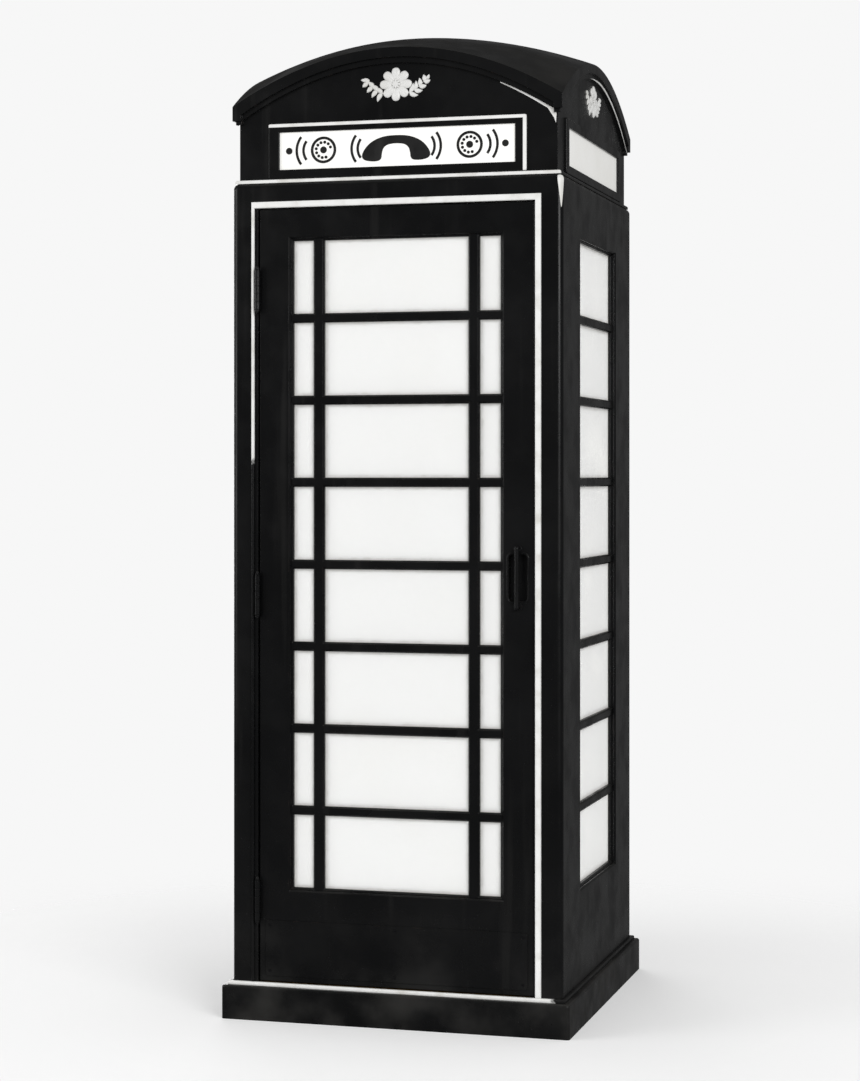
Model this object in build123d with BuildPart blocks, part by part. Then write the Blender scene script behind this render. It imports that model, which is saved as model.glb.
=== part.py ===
"""Cast-iron telephone kiosk: glazed walls, an outward swing door, a domed roof with four lit signs,
and a coin telephone on a backboard inside.

Units are millimetres. +Z is up, the door faces -Y, and the origin is at the centre of the plinth's
underside. Every function below makes one piece, and the list at the end writes each one as a STEP file.
"""

import os

from build123d import *

# Envelope
PLINTH_W = 900
PLINTH_H = 85
PLINTH_CORNER = 8
PLINTH_ROUND = 6
ANCHOR_PITCH = 600
ANCHOR_R = 9
ANCHOR_DEPTH = 60
DUCT_R = 25
BODY_W = 856
WALL_T = 60
WALL_TOP = 2110
APEX = 2515
HALF = BODY_W / 2
INNER = HALF - WALL_T
SHOULDER_R = 14
SKIN = 12
WEB = 15

# Glazing field, shared by the door and the side walls
ROWS = 8
ROW_PITCH = 206.5
PANE_H = 183
FIELD_Z = 334
FIELD_H = (ROWS - 1) * ROW_PITCH + PANE_H
RIM = 6
WIDE_PANE = 374
NARROW_PANE = 53
UPRIGHT_BAR = 29
DOOR_FIELD_W = WIDE_PANE + 2 * (UPRIGHT_BAR + NARROW_PANE)
SIDE_FIELD_W = 430
BAR_T = 24
BAR_CHAMFER = 4
GLASS_T = 6
GLASS_LAP = 4

# Door opening and door leaf
JAMB_X = 359
JAMB_TOP = 2046
STOP_X = 345
STOP_T = 10
LEAF_X = 356
LEAF_Z = 96
LEAF_TOP = 2043
LEAF_T = 44
SILL_T = 8
LEAF_SET_BACK = 4
DOOR_GLAZING_BACK = 6
SIDE_GLAZING_BACK = 8
BEAD_W = 16
BEAD_PROUD = 6
HINGE_BEAD_X = -376
HINGE_BEAD_W = 8

# Door hinges
PIN_X = -358
PIN_Y = -436
KNUCKLE_R = 7
HINGE_PIN_R = 4
RUNNING_GAP = 0.05
HINGE_H = 100
HINGE_ZS = (300, 1070, 1840)
KNUCKLES = 5
KNUCKLE_GAP = 0.3
HINGE_LEAF_W = 46
HINGE_LEAF_T = 1.3
HINGE_LEAF_GAP = 0.6
FINIAL_T = 4
FINIAL_GAP = 0.5
FINIAL_BALL_OFFSET = 6
FINIAL_BALL_R = 4.5

# Door furniture
PULL_X = 315
PULL_Z = 1120
PULL_POCKET_W = 46
PULL_POCKET_H = 116
PULL_POCKET_D = 22
PULL_POCKET_ROUND = 10
PULL_BAR_R = 6
PULL_STAND_OFF = 13
PULL_POST_OFFSET = 70
PULL_ROSE_R = 11
PULL_ROSE_T = 2
LEAF_ROUND = 2
KICK_Z = 180
KICK_W = 680
KICK_H = 140
KICK_T = 2
KICK_ROUND = 8
KICK_SCREW_INSET = 12
KICK_SCREW_R = 4
KICK_SCREW_SINK = 0.8
SEAL_W = 10
SEAL_GAP = 0.3
SEAL_FOOT_GAP = 7
GROOVES = 7
GROOVE_PITCH = 6
GROOVE_W = 2.5
GROOVE_D = 2
GROOVE_END = 15
NOSING_R = 3

# Roof
ROOF_SET_IN = 15
ROOF_T = 16
FASCIA = HALF - ROOF_SET_IN
ROOF_INNER = FASCIA - ROOF_T
MID_CROWN = 2437
CORNER_Z = 2305
SIDE_DROP = APEX - MID_CROWN
EDGE_DROP = MID_CROWN - CORNER_Z
TWIST_DROP = EDGE_DROP - SIDE_DROP
DOME_T = 10
CORNICE_STEPS = ((15, 24), (8, 38))
CORNICE_FLARE = 12
FLANGE_T = 12
FLANGE_W = 36
SIGN_W = 620
SIGN_H = 102
SIGN_Z = 2190
SIGN_FRAME_W = 670
SIGN_FRAME_H = 138
SIGN_FRAME_Z = 2190
SIGN_FRAME_T = 6
EMBLEM_Z = 2346
EMBLEM_T = 7
BOSS_R = 17.5
PETALS = 8
PETAL_RING_R = 27.5
PETAL_L = 14.5
PETAL_W = 8.5
LEAF_START = 33.5
LEAVES = 5
LEAF_PITCH = 11
LEAF_STEM_R = 5.5
LEAF_L = 11
LEAF_W = 4.5
LEAF_TILT = 38
LEAF_RISE = 0.2
SPRAY_DROP = 14
SPRAY_CURVE = 1.1
JOINT_BEAD = 9
BACK_PANEL_SINK = 12
ROOF_BOLT_LINE = 379
ROOF_BOLT_US = (-250, 250)
ROOF_BOLT_R = 5
ROOF_BOLT_BITE = 20
ROOF_BOLT_HEAD = 9
ROOF_BOLT_HEAD_T = 6
SIGN_LIP = 4
SIGN_EDGE = 2.5
BEAD_ROUND = 0.45
SURROUND_ROUND = 0.55
CORE_LOW = PLINTH_H + WEB
CORE_TOP = WALL_TOP - ROOF_BOLT_BITE - WEB

# Interior
FLOOR_T = 15
LINING = 2
CEILING_T = 4
LAMP_R = 65
LAMP_BASE_H = 16
LAMP_BASE_ROUND = 4
SOCKET_R = 15
SOCKET_H = 8
SOCKET_TOP_GAP = 4
BULB_CAP_R = 12
BULB_CAP_H = 24
BULB_R = 18
BULB_DROP = 36
LENS_DROP = 58
LENS_WALL = 4
LENS_EDGE = 8
LENS_SWELL = 50
VENT_RING_R = 250
VENT_L = 160
VENT_W = 16
ANGLE_LEG = 40
ANGLE_SHORT_LEG = 22
ANGLE_T = 5
ANGLE_BOLT_ZS = (250, 740, 1230, 1720)
ANGLE_BOLT_LINE = 0.62
ANGLE_BOLT_HEAD = 9
ANGLE_BOLT_HEAD_T = 7
BOARD_Y = 350
BOARD_LOW = 760
BOARD_TOP = 1820
BOARD_X = 300
BOARD_ROUND = 6
PHONE_W = 240
PHONE_H = 480
PHONE_Z = 1320
PHONE_FACE_Y = 232
COVER_DEPTH = 26
CASE_DEPTH = 92
COVER_T = 4
CASE_T = 3
PHONE_ROUND = 14
COVER_EDGE = 5
DIAL_X = -28
DIAL_Z = 1390
DIAL_R = 46
DIAL_PLATE_T = 5
DIAL_PLATE_EDGE = 1.5
DIAL_DEPTH = 24
BARREL_GAP = 0.5
DIAL_BARREL_R = 29
DIAL_SHAFT_R = 4
WHEEL_R = 38
WHEEL_T = 3
WHEEL_GAP = 1.5
WHEEL_BOSS_R = 13
WHEEL_BOSS_T = 2
FINGER_PITCH_R = 29
FINGER_HOLE_R = 5.5
FINGER_HOLES = 10
FIRST_HOLE_DEG = 20
HOLES_SWEEP_DEG = 270
STOP_DEG = 40
STOP_POST_T = 4
STOP_POST_H = 10
STOP_W = 6
STOP_BLADE_INSET = 3
STOP_BLADE_L = 18
STOP_BLADE_T = 2
CASH_PIN_X = -97
CASH_PIN_R = 1.5
CASH_PIN_OUT = 3
CASH_BARREL_R = 2.8
CASH_DOOR_T = 6
CASH_DOOR_ROUND = 4
CASH_WEB_T = 2
CASH_LUG_INSET = 6
CASH_LUG_H = 8
CASH_BARREL_GAP = 0.5
CASH_LAP = 4
CASH_DOOR_W = 186
CASH_DOOR_H = 122
CASH_SHELF_Z = 1096
CASH_SHELF_T = 4
LOCK_X = 70
LOCK_R = 9
LOCK_PROUD = 8
LOCK_L = 16
KEYWAY_W = 1.6
KEYWAY_H = 8
KEYWAY_R = 2.2
KEYWAY_D = 5
CASH_BOX_X = 80
CASH_BOX_GAP = 12
CASH_BOX_DEPTH = 92
CASH_BOX_T = 2
CASH_TOP = 1205
CHUTE_Y = 290
CHUTE_W = 40
CHUTE_DEPTH = 16
CHUTE_T = 2
MECHANISM_HALF_W = 30
MECHANISM_T = 4
MECHANISM_FOOT = 48
MECHANISM_RISE = 18
RUNWAYS = 4
RUNWAY_PITCH = 40
RUNWAY_INSET = 6
RUNWAY_L = 80
RUNWAY_T = 5
CASH_Z = 1155
CUP_X = -70
CUP_Z = 1262
CUP_W = 50
CUP_H = 36
CUP_DEPTH = 54
CUP_T = 2
FLAP_GAP = 1
FLAP_T = 2
FLAP_GRIP_W = 32
FLAP_GRIP_RISE = 3
FLAP_PIN_Z = 1276.5
FLAP_PIN_R = 0.95
FLAP_PIN_HOLE = 4
FLAP_PIN_BITE = 3
BUTTON_X = 70
BUTTON_Z = 1262
BUTTON_R = 8
BUTTON_L = 18
BUTTON_FLANGE = 5
BUTTON_FLANGE_T = 4
BUTTON_FLANGE_Y = 6
BUTTON_STEM_Y = 4
BUTTON_ROUND = 1.2
SLOTS_X = 62
SLOTS_Z = 1508
SLOTS_W = 66
SLOTS_H = 48
SLOTS_T = 3
SLOT_W = 3.4
SLOT_H = 28
SLOT_PITCH = 15
SLOTS_OPENING_W = 50
SLOTS_OPENING_H = 34
PLATE_X = -44
PLATE_W = 104
PLATE_T = 1.2
HANDSET_X = -160
HANDSET_Y = 286
EAR_Z = 1505
MOUTH_Z = 1325
CAP_R = 26
CAP_DEPTH = 18
CAP_ROUND = 4
CAP_HOLE_R = 1.6
CAP_HOLE_RING = 9
CAP_HOLE_D = 4
CAP_HOLES = 6
GRIP_BACK = 12
GRIP_TUCK = 2
GRIP_BOW = 10
CAP_FIT = 2
GRIP_W = 9
GRIP_T = 8
GRIP_SWELL_R = 14
HOOK_Y = 324
HOOK_Z = 1478
HOOK_SHAFT_R = 4
HOOK_SHAFT_L = 44
HOOK_HALF_H = 4
FORK_IN = 13
FORK_OUT = 21
FORK_REACH = 23
FORK_HUB = 6
FORK_SHAFT_LAP = 5
GLAND_X = -90
GLAND_Y = 304
GLAND_HOLE_R = 6
GLAND_R = 10
GLAND_H = 10
GLAND_NECK_R = 5.9
GLAND_NECK_H = 8
GLAND_BORE_R = 3.5
CONDUIT_X = 60
CONDUIT_Y = 336
CONDUIT_R = 10
CONDUIT_T = 2
SADDLE_T = 2.5
SADDLE_GAP = 0.2
SADDLE_W = 48
SADDLE_FOOT_T = 3
SADDLE_H = 16
SADDLE_FROM_END = 60
SHELF_Z = 985
SHELF_T = 18
SHELF_X = 300
SHELF_Y = 170
SHELF_LIP_T = 8
SHELF_LIP_H = 14
SHELF_ROUND = 6
BRACKET_X = 220
BRACKET_DROP = 110
BRACKET_REACH = 140
BRACKET_T = 5
BRACKET_TIP = 12
BRACKET_WAIST = 30
NOTICE_X = 220
NOTICE_Z = 1325
NOTICE_W = 140
NOTICE_H = 350
NOTICE_RIM = 8
NOTICE_T = 8
CARD_T = 2
MIRROR_Z = 1700
MIRROR_W = 200
MIRROR_H = 160
MIRROR_T = 5
MIRROR_BEVEL = 4

# Each wall's own plane: x runs along the wall, y is up, and z points out of the kiosk.
WALLS = {
    "front": Plane(origin=(0, -HALF, 0), x_dir=(1, 0, 0), z_dir=(0, -1, 0)),
    "right": Plane(origin=(HALF, 0, 0), x_dir=(0, 1, 0), z_dir=(1, 0, 0)),
    "back": Plane(origin=(0, HALF, 0), x_dir=(-1, 0, 0), z_dir=(0, 1, 0)),
    "left": Plane(origin=(-HALF, 0, 0), x_dir=(0, -1, 0), z_dir=(-1, 0, 0)),
}
PHONE_FACE = Plane(origin=(0, PHONE_FACE_Y, 0), x_dir=(1, 0, 0), z_dir=(0, -1, 0))


def rectangle_between(x0, x1, y0, y1, mode=Mode.ADD):
    """A rectangle in the current sketch from its two corners."""
    with Locations(((x0 + x1) / 2, (y0 + y1) / 2)):
        Rectangle(x1 - x0, y1 - y0, mode=mode)


def box_between(low, high, mode=Mode.ADD):
    """A box in the current part from its lowest and highest corners."""
    size = [b - a for a, b in zip(low, high)]
    middle = [(a + b) / 2 for a, b in zip(low, high)]
    with Locations(tuple(middle)):
        Box(*size, mode=mode)


# ---------------------------------------------------------------- base and walls


def plinth():
    """Cast plinth with a rounded top arris, a cable duct and four sockets for holding-down bolts."""
    with BuildPart() as part:
        with BuildSketch():
            RectangleRounded(PLINTH_W, PLINTH_W, PLINTH_CORNER)
        extrude(amount=PLINTH_H)
        fillet(part.faces().sort_by(Axis.Z)[-1].edges(), PLINTH_ROUND)
        with BuildSketch():
            with Locations((CONDUIT_X, CONDUIT_Y)):
                Circle(DUCT_R)
        extrude(amount=PLINTH_H, mode=Mode.SUBTRACT)
        with BuildSketch():
            with GridLocations(ANCHOR_PITCH, ANCHOR_PITCH, 2, 2):
                Circle(ANCHOR_R)
        extrude(amount=ANCHOR_DEPTH, mode=Mode.SUBTRACT)
    return part


def floor_panel():
    """Floor between the walls, with a hole for the cable conduit."""
    with BuildPart() as part:
        with BuildSketch(Plane.XY.offset(PLINTH_H)):
            Rectangle(2 * (INNER - LINING), 2 * (INNER - LINING))
            with Locations((CONDUIT_X, CONDUIT_Y)):
                Circle(CONDUIT_R + 1, mode=Mode.SUBTRACT)
        extrude(amount=FLOOR_T)
    return part


def threshold_plate():
    """Door sill with seven anti-slip grooves and a rounded nosing."""
    with BuildPart() as part:
        low = (-JAMB_X, -HALF, PLINTH_H)
        box_between(low, (JAMB_X, -INNER - STOP_T, PLINTH_H + SILL_T))
        nosing = part.faces().sort_by(Axis.Y)[0].edges().sort_by(Axis.Z)[-1]
        fillet(nosing, NOSING_R)
        with BuildSketch(Plane.XY.offset(PLINTH_H + SILL_T)):
            with Locations((0, -INNER - STOP_T - (WALL_T - STOP_T) / 2)):
                with GridLocations(0, GROOVE_PITCH, 1, GROOVES):
                    Rectangle(2 * (JAMB_X - GROOVE_END), GROOVE_W)
        extrude(amount=-GROOVE_D, mode=Mode.SUBTRACT)
    return part


def shoulder_edges(part, upright_corners):
    """The top outer edges of a wall casting and, if it has them, its corner arrises."""
    top = part.faces().filter_by(Axis.Z).sort_by(Axis.Z)[-1]
    chosen = [e for e in top.edges() if not inside_walls(e.center())]
    if upright_corners:
        outer = [e for e in part.edges().filter_by(Axis.Z) if is_body_corner(e.center())]
        chosen += outer
    return chosen


def inside_walls(point):
    """Whether a point lies inside the kiosk's outer wall faces."""
    return max(abs(point.X), abs(point.Y)) < HALF - 1


def is_body_corner(point):
    """Whether a point lies on one of the kiosk's four corner arrises."""
    return min(abs(point.X), abs(point.Y)) > HALF - 1


def front_frame():
    """Door surround: two corner posts and a head, with a stop behind the door leaf."""
    stop_top = JAMB_TOP - (JAMB_X - STOP_X)
    with BuildPart() as part:
        with BuildSketch(WALLS["front"]):
            rectangle_between(-HALF, HALF, PLINTH_H, WALL_TOP)
            rectangle_between(-JAMB_X, JAMB_X, PLINTH_H, JAMB_TOP, Mode.SUBTRACT)
        extrude(amount=-(WALL_T - STOP_T))
        with BuildSketch(WALLS["front"].offset(-(WALL_T - STOP_T))):
            rectangle_between(-HALF, HALF, PLINTH_H, WALL_TOP)
            rectangle_between(-STOP_X, STOP_X, PLINTH_H, stop_top, Mode.SUBTRACT)
        extrude(amount=-STOP_T)
        fillet(shoulder_edges(part, True), SHOULDER_R)
        with BuildSketch(WALLS["front"].offset(-WALL_T)):
            for post_x in (-(JAMB_X + HALF) / 2, (JAMB_X + HALF) / 2):
                with Locations((post_x, (CORE_LOW + CORE_TOP) / 2)):
                    Rectangle(HALF - JAMB_X - 2 * WEB, CORE_TOP - CORE_LOW)
        extrude(amount=WALL_T - WEB, mode=Mode.SUBTRACT)
        drill_wall_top("front")
    return part


def drill_wall_top(side):
    """Blind holes in the top of a wall casting for the roof bolts."""
    for x, y in roof_bolt_places(side):
        with Locations((x, y, WALL_TOP)):
            Cylinder(
                ROOF_BOLT_R,
                ROOF_BOLT_BITE + 1,
                align=(Align.CENTER, Align.CENTER, Align.MAX),
                mode=Mode.SUBTRACT,
            )


def roof_bolt_places(side):
    """Where the two roof bolts of a side stand, in plan."""
    plane = WALLS[side].offset(-(HALF - ROOF_BOLT_LINE))
    points = [plane.from_local_coords((u, 0, 0)) for u in ROOF_BOLT_US]
    return [(point.X, point.Y) for point in points]


def side_frame(side):
    """Cast side wall with a chamfered window opening, set between the front frame and the back wall."""
    front_end = -INNER if side == "right" else INNER
    back_end = -front_end
    half_field = SIDE_FIELD_W / 2 + RIM
    low, high = FIELD_Z - RIM, FIELD_Z + FIELD_H + RIM
    with BuildPart() as part:
        with BuildSketch(WALLS[side]):
            rectangle_between(min(front_end, back_end), max(front_end, back_end), PLINTH_H, WALL_TOP)
            rectangle_between(-half_field, half_field, low, high, Mode.SUBTRACT)
        extrude(amount=-WALL_T)
        face = part.faces().filter_by(WALLS[side]).sort_by(Axis(WALLS[side].origin, WALLS[side].z_dir))[-1]
        chamfer(face.inner_wires()[0].edges(), SIDE_GLAZING_BACK - 4)
        fillet(shoulder_edges(part, False), SHOULDER_R)
        with BuildSketch(WALLS[side].offset(-WALL_T)):
            flange = INNER - ANGLE_LEG - WEB
            rectangle_between(-flange, flange, CORE_LOW, CORE_TOP)
            web_x = half_field + WEB
            rectangle_between(-web_x, web_x, low - WEB, high + WEB, Mode.SUBTRACT)
        extrude(amount=WALL_T - SKIN, mode=Mode.SUBTRACT)
        drill_wall_top(side)
    return part


def back_panel():
    """Blank back wall with a sunk panel where the other walls have glass."""
    half_field = DOOR_FIELD_W / 2 + RIM
    with BuildPart() as part:
        with BuildSketch(WALLS["back"]):
            rectangle_between(-HALF, HALF, PLINTH_H, WALL_TOP)
        extrude(amount=-WALL_T)
        fillet(shoulder_edges(part, True), SHOULDER_R)
        with BuildSketch(WALLS["back"]):
            rectangle_between(-half_field, half_field, FIELD_Z - RIM, FIELD_Z + FIELD_H + RIM)
        extrude(amount=-BACK_PANEL_SINK, mode=Mode.SUBTRACT)
        rim = part.faces().filter_by(WALLS["back"]).sort_by(Axis.Y)[-1].inner_wires()[0].edges()
        chamfer(rim, BACK_PANEL_SINK - 4)
        with BuildSketch(WALLS["back"].offset(-WALL_T)):
            flange = INNER - ANGLE_SHORT_LEG - WEB
            rectangle_between(-flange, flange, CORE_LOW, BOARD_LOW)
            rectangle_between(-half_field, half_field, BOARD_LOW + 2 * WEB, BOARD_TOP - 2 * WEB)
            rectangle_between(-flange, flange, BOARD_TOP, CORE_TOP)
        extrude(amount=WALL_T - SKIN - BACK_PANEL_SINK, mode=Mode.SUBTRACT)
        drill_wall_top("back")
    return part


def square_ring(outer, inner, low, height):
    """A square ring in plan, as wide as 2 * outer over its outside."""
    with BuildPart() as part:
        with BuildSketch(Plane.XY.offset(low)):
            Rectangle(2 * outer, 2 * outer)
            Rectangle(2 * inner, 2 * inner, mode=Mode.SUBTRACT)
        extrude(amount=height)
        top_rim = part.faces().sort_by(Axis.Z)[-1].outer_wire().edges()
        fillet(top_rim, height * BEAD_ROUND)
    return part


def foot_bead():
    """Bead that seals the foot of the walls to the plinth."""
    return square_ring(HALF + JOINT_BEAD, HALF, PLINTH_H, JOINT_BEAD)


def shoulder_bead():
    """Bead that seals the roof casting to the shoulder of the walls."""
    return square_ring(FASCIA + JOINT_BEAD, FASCIA, WALL_TOP, JOINT_BEAD)


def door_surround_bead():
    """Half-round bead round the door opening, narrow on the hinge side to clear the knuckles."""
    with BuildPart() as part:
        with BuildSketch(WALLS["front"]):
            rectangle_between(HINGE_BEAD_X, JAMB_X + BEAD_W, PLINTH_H + JOINT_BEAD, JAMB_TOP + BEAD_W)
            left = HINGE_BEAD_X + HINGE_BEAD_W
            rectangle_between(left, JAMB_X + 1, PLINTH_H, JAMB_TOP, Mode.SUBTRACT)
        extrude(amount=BEAD_PROUD)
        fillet(part.faces().sort_by(Axis.Y)[0].edges(), BEAD_PROUD * SURROUND_ROUND)
    return part


# ---------------------------------------------------------------- roof


def crown_arc(half_width, crown, drop):
    """A parabolic arc in the current line: crown high in the middle, drop lower at its ends."""
    return Bezier((-half_width, crown - drop), (0, crown + drop), (half_width, crown - drop))


def pediment_face(plane, half_width):
    """The fascia's outline in a wall plane, from the wall's shoulder up to its parabolic arc."""
    reach = (half_width / HALF) ** 2
    with BuildSketch(plane) as sketch:
        with BuildLine():
            arc = crown_arc(half_width, MID_CROWN, EDGE_DROP * reach)
            Polyline(arc @ 0, (-half_width, WALL_TOP), (half_width, WALL_TOP), arc @ 1)
        make_face()
    return sketch.sketch


def cornice_face(plane, half_width, depth):
    """A band in a wall plane between the pediment's arc and a flatter arc below it."""
    reach = (half_width / HALF) ** 2
    with BuildSketch(plane) as sketch:
        with BuildLine():
            upper = crown_arc(half_width, MID_CROWN, EDGE_DROP * reach)
            lower = crown_arc(half_width, MID_CROWN - depth, (EDGE_DROP + CORNICE_FLARE) * reach)
            Line(upper @ 0, lower @ 0)
            Line(upper @ 1, lower @ 1)
        make_face()
    return sketch.sketch


def dome_surface():
    """The dome's outer skin: a quadratic patch whose four edges are the pediments' arcs."""
    steps = ((-HALF, 1), (0, -1), (HALF, 1))
    return Face.make_bezier_surface(
        [
            [Vector(x, y, APEX - SIDE_DROP * (i + j) - TWIST_DROP * i * j) for y, j in steps]
            for x, i in steps
        ]
    )


def roof_casting():
    """Roof: four fascias with sign windows, stepped pediment cornices, the dome and a bolting flange."""
    with BuildPart() as part:
        for plane in WALLS.values():
            extrude(pediment_face(plane.offset(-ROOF_SET_IN), FASCIA), amount=-ROOF_T)
            for proud, depth in CORNICE_STEPS:
                half_width = FASCIA + proud
                band = cornice_face(plane.offset(half_width - HALF), half_width, depth)
                extrude(band, amount=-(proud + ROOF_T / 2))
        extrude(dome_surface(), amount=DOME_T, dir=(0, 0, -1))
        with BuildSketch(Plane.XY.offset(WALL_TOP)):
            Rectangle(2 * ROOF_INNER + 2, 2 * ROOF_INNER + 2)
            Rectangle(2 * (ROOF_INNER - FLANGE_W), 2 * (ROOF_INNER - FLANGE_W), mode=Mode.SUBTRACT)
        extrude(amount=FLANGE_T)
        for side, plane in WALLS.items():
            with BuildSketch(plane.offset(-ROOF_SET_IN)):
                with Locations((0, SIGN_Z)):
                    Rectangle(SIGN_W, SIGN_H)
            extrude(amount=-ROOF_T, mode=Mode.SUBTRACT)
            for x, y in roof_bolt_places(side):
                with Locations((x, y, WALL_TOP + FLANGE_T / 2)):
                    Cylinder(ROOF_BOLT_R, 2 * FLANGE_T, mode=Mode.SUBTRACT)
    return part


def on_each_wall(set_in, draw, amount, edge_round=0.0):
    """One solid on each wall, from a sketch drawn once in the wall's plane."""
    with BuildPart() as part:
        for plane in WALLS.values():
            with BuildSketch(plane.offset(-set_in)):
                draw()
            extrude(amount=amount)
        if edge_round:
            for plane in WALLS.values():
                outward = Axis(plane.origin, plane.z_dir)
                face = part.faces().filter_by(plane).sort_by(outward)[-1]
                fillet(face.edges(), edge_round)
    return part


def sign_frames():
    """Four raised frames that hold the sign glasses against the fascias."""

    def draw():
        with Locations((0, SIGN_FRAME_Z)):
            RectangleRounded(SIGN_FRAME_W, SIGN_FRAME_H, 4)
        with Locations((0, SIGN_Z)):
            Rectangle(SIGN_W - 2 * SIGN_LIP, SIGN_H - 2 * SIGN_LIP, mode=Mode.SUBTRACT)

    return on_each_wall(ROOF_SET_IN, draw, SIGN_FRAME_T, SIGN_EDGE)


def sign_glasses():
    """Four opal glasses, one in each sign window, behind the frame's lip."""

    def draw():
        with Locations((0, SIGN_Z)):
            Rectangle(SIGN_W - 1, SIGN_H - 1)

    return on_each_wall(ROOF_SET_IN, draw, -GLASS_T)


def roof_emblems():
    """Four plain floral badges, an eight-petal rosette between two leaf sprays."""

    def draw():
        with Locations((0, EMBLEM_Z)):
            Circle(BOSS_R)
            with PolarLocations(PETAL_RING_R, PETALS):
                Ellipse(PETAL_L, PETAL_W)
        for side in (1, -1):
            for step in range(LEAVES):
                along = LEAF_START + step * LEAF_PITCH
                rise = EMBLEM_Z - SPRAY_DROP + step * step * SPRAY_CURVE
                with Locations((side * along, rise)):
                    Circle(LEAF_STEM_R)
                for tilt in (LEAF_TILT, -LEAF_TILT):
                    place = (side * (along + LEAF_L / 2), rise + tilt * LEAF_RISE, 0)
                    with Locations(Location(place, (0, 0, side * tilt))):
                        Ellipse(LEAF_L, LEAF_W)

    return on_each_wall(ROOF_SET_IN, draw, EMBLEM_T)


def roof_bolts():
    """Eight bolts from the roof's flange down into the wall castings."""
    with BuildPart() as part:
        for side in WALLS:
            for x, y in roof_bolt_places(side):
                with BuildSketch(Plane.XY.offset(WALL_TOP + FLANGE_T)):
                    with Locations((x, y)):
                        RegularPolygon(ROOF_BOLT_HEAD, 6)
                extrude(amount=ROOF_BOLT_HEAD_T)
                with Locations((x, y, WALL_TOP + FLANGE_T)):
                    Cylinder(
                        ROOF_BOLT_R,
                        FLANGE_T + ROOF_BOLT_BITE,
                        align=(Align.CENTER, Align.CENTER, Align.MAX),
                    )
    return part


def ceiling_panel():
    """Sheet ceiling under the roof flange, with slots that let the lamp light the signs."""
    with BuildPart() as part:
        with BuildSketch(Plane.XY.offset(WALL_TOP - CEILING_T)):
            Rectangle(2 * (INNER - LINING), 2 * (INNER - LINING))
            with PolarLocations(VENT_RING_R, 4):
                SlotOverall(VENT_L, VENT_W, rotation=90, mode=Mode.SUBTRACT)
        extrude(amount=CEILING_T)
    return part


def lamp_base():
    """Round bulkhead lamp body under the ceiling, with a socket for the bulb."""
    base_top = WALL_TOP - CEILING_T
    with BuildPart() as part:
        with BuildSketch(Plane.XY.offset(base_top)):
            Circle(LAMP_R)
        extrude(amount=-LAMP_BASE_H)
        fillet(part.faces().sort_by(Axis.Z)[0].edges(), LAMP_BASE_ROUND)
        with BuildSketch(Plane.XY.offset(base_top - LAMP_BASE_H)):
            Circle(SOCKET_R)
        extrude(amount=-SOCKET_H)
        with BuildSketch(Plane.XY.offset(base_top - SOCKET_TOP_GAP)):
            Circle(BULB_CAP_R)
        extrude(amount=-(LAMP_BASE_H + SOCKET_H - SOCKET_TOP_GAP), mode=Mode.SUBTRACT)
    return part


def lamp_bulb():
    """Bulb with a cap that sits in the lamp base's socket."""
    cap_top = WALL_TOP - CEILING_T - SOCKET_TOP_GAP
    with BuildPart() as part:
        with Locations((0, 0, cap_top)):
            Cylinder(BULB_CAP_R, BULB_CAP_H, align=(Align.CENTER, Align.CENTER, Align.MAX))
        with Locations((0, 0, cap_top - BULB_DROP)):
            Sphere(BULB_R)
    return part


def lamp_lens():
    """Opal glass bowl that closes the lamp."""
    rim_z = WALL_TOP - CEILING_T - LAMP_BASE_H
    foot_z = rim_z - LENS_DROP
    rim_x = LAMP_R - LENS_EDGE
    with BuildPart() as part:
        with BuildSketch(Plane.XZ):
            with BuildLine():
                bowl = Bezier((0, foot_z), (LENS_SWELL, foot_z), (rim_x, rim_z))
                inner = Bezier(
                    (rim_x - LENS_WALL, rim_z),
                    (LENS_SWELL - LENS_WALL, foot_z + LENS_WALL),
                    (0, foot_z + LENS_WALL),
                )
                Line(bowl @ 1, inner @ 0)
                Line(inner @ 1, bowl @ 0)
            make_face()
        revolve(axis=Axis.Z)
    return part


# ---------------------------------------------------------------- glazing


def pane_columns(field_w):
    """Middle and width of each column of panes in a field."""
    if field_w == SIDE_FIELD_W:
        return [(0, SIDE_FIELD_W)]
    narrow_x = WIDE_PANE / 2 + UPRIGHT_BAR + NARROW_PANE / 2
    return [(-narrow_x, NARROW_PANE), (0, WIDE_PANE), (narrow_x, NARROW_PANE)]


def pane_places(field_w):
    """Middle, width and height of every pane in a field, from the bottom row up."""
    return [
        ((x, FIELD_Z + row * ROW_PITCH + PANE_H / 2), width, PANE_H)
        for row in range(ROWS)
        for x, width in pane_columns(field_w)
    ]


def glazing_bars(side, field_w, set_back):
    """Glazing bars as one grid, bevelled outside and rebated inside for the glass."""
    face = WALLS[side].offset(-set_back)
    with BuildPart() as part:
        with BuildSketch(face):
            low, high = FIELD_Z - RIM, FIELD_Z + FIELD_H + RIM
            rectangle_between(-field_w / 2 - RIM, field_w / 2 + RIM, low, high)
            for place, width, height in pane_places(field_w):
                with Locations(place):
                    Rectangle(width, height, mode=Mode.SUBTRACT)
        extrude(amount=-BAR_T)
        outer = part.faces().filter_by(face).sort_by(Axis(face.origin, face.z_dir))[-1]
        openings = [edge for wire in outer.inner_wires() for edge in wire.edges()]
        chamfer(openings, BAR_CHAMFER)
        with BuildSketch(face.offset(-BAR_T / 2)):
            for place, width, height in pane_places(field_w):
                with Locations(place):
                    Rectangle(width + 2 * GLASS_LAP, height + 2 * GLASS_LAP)
        extrude(amount=-BAR_T / 2, mode=Mode.SUBTRACT)
    return part


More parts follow.
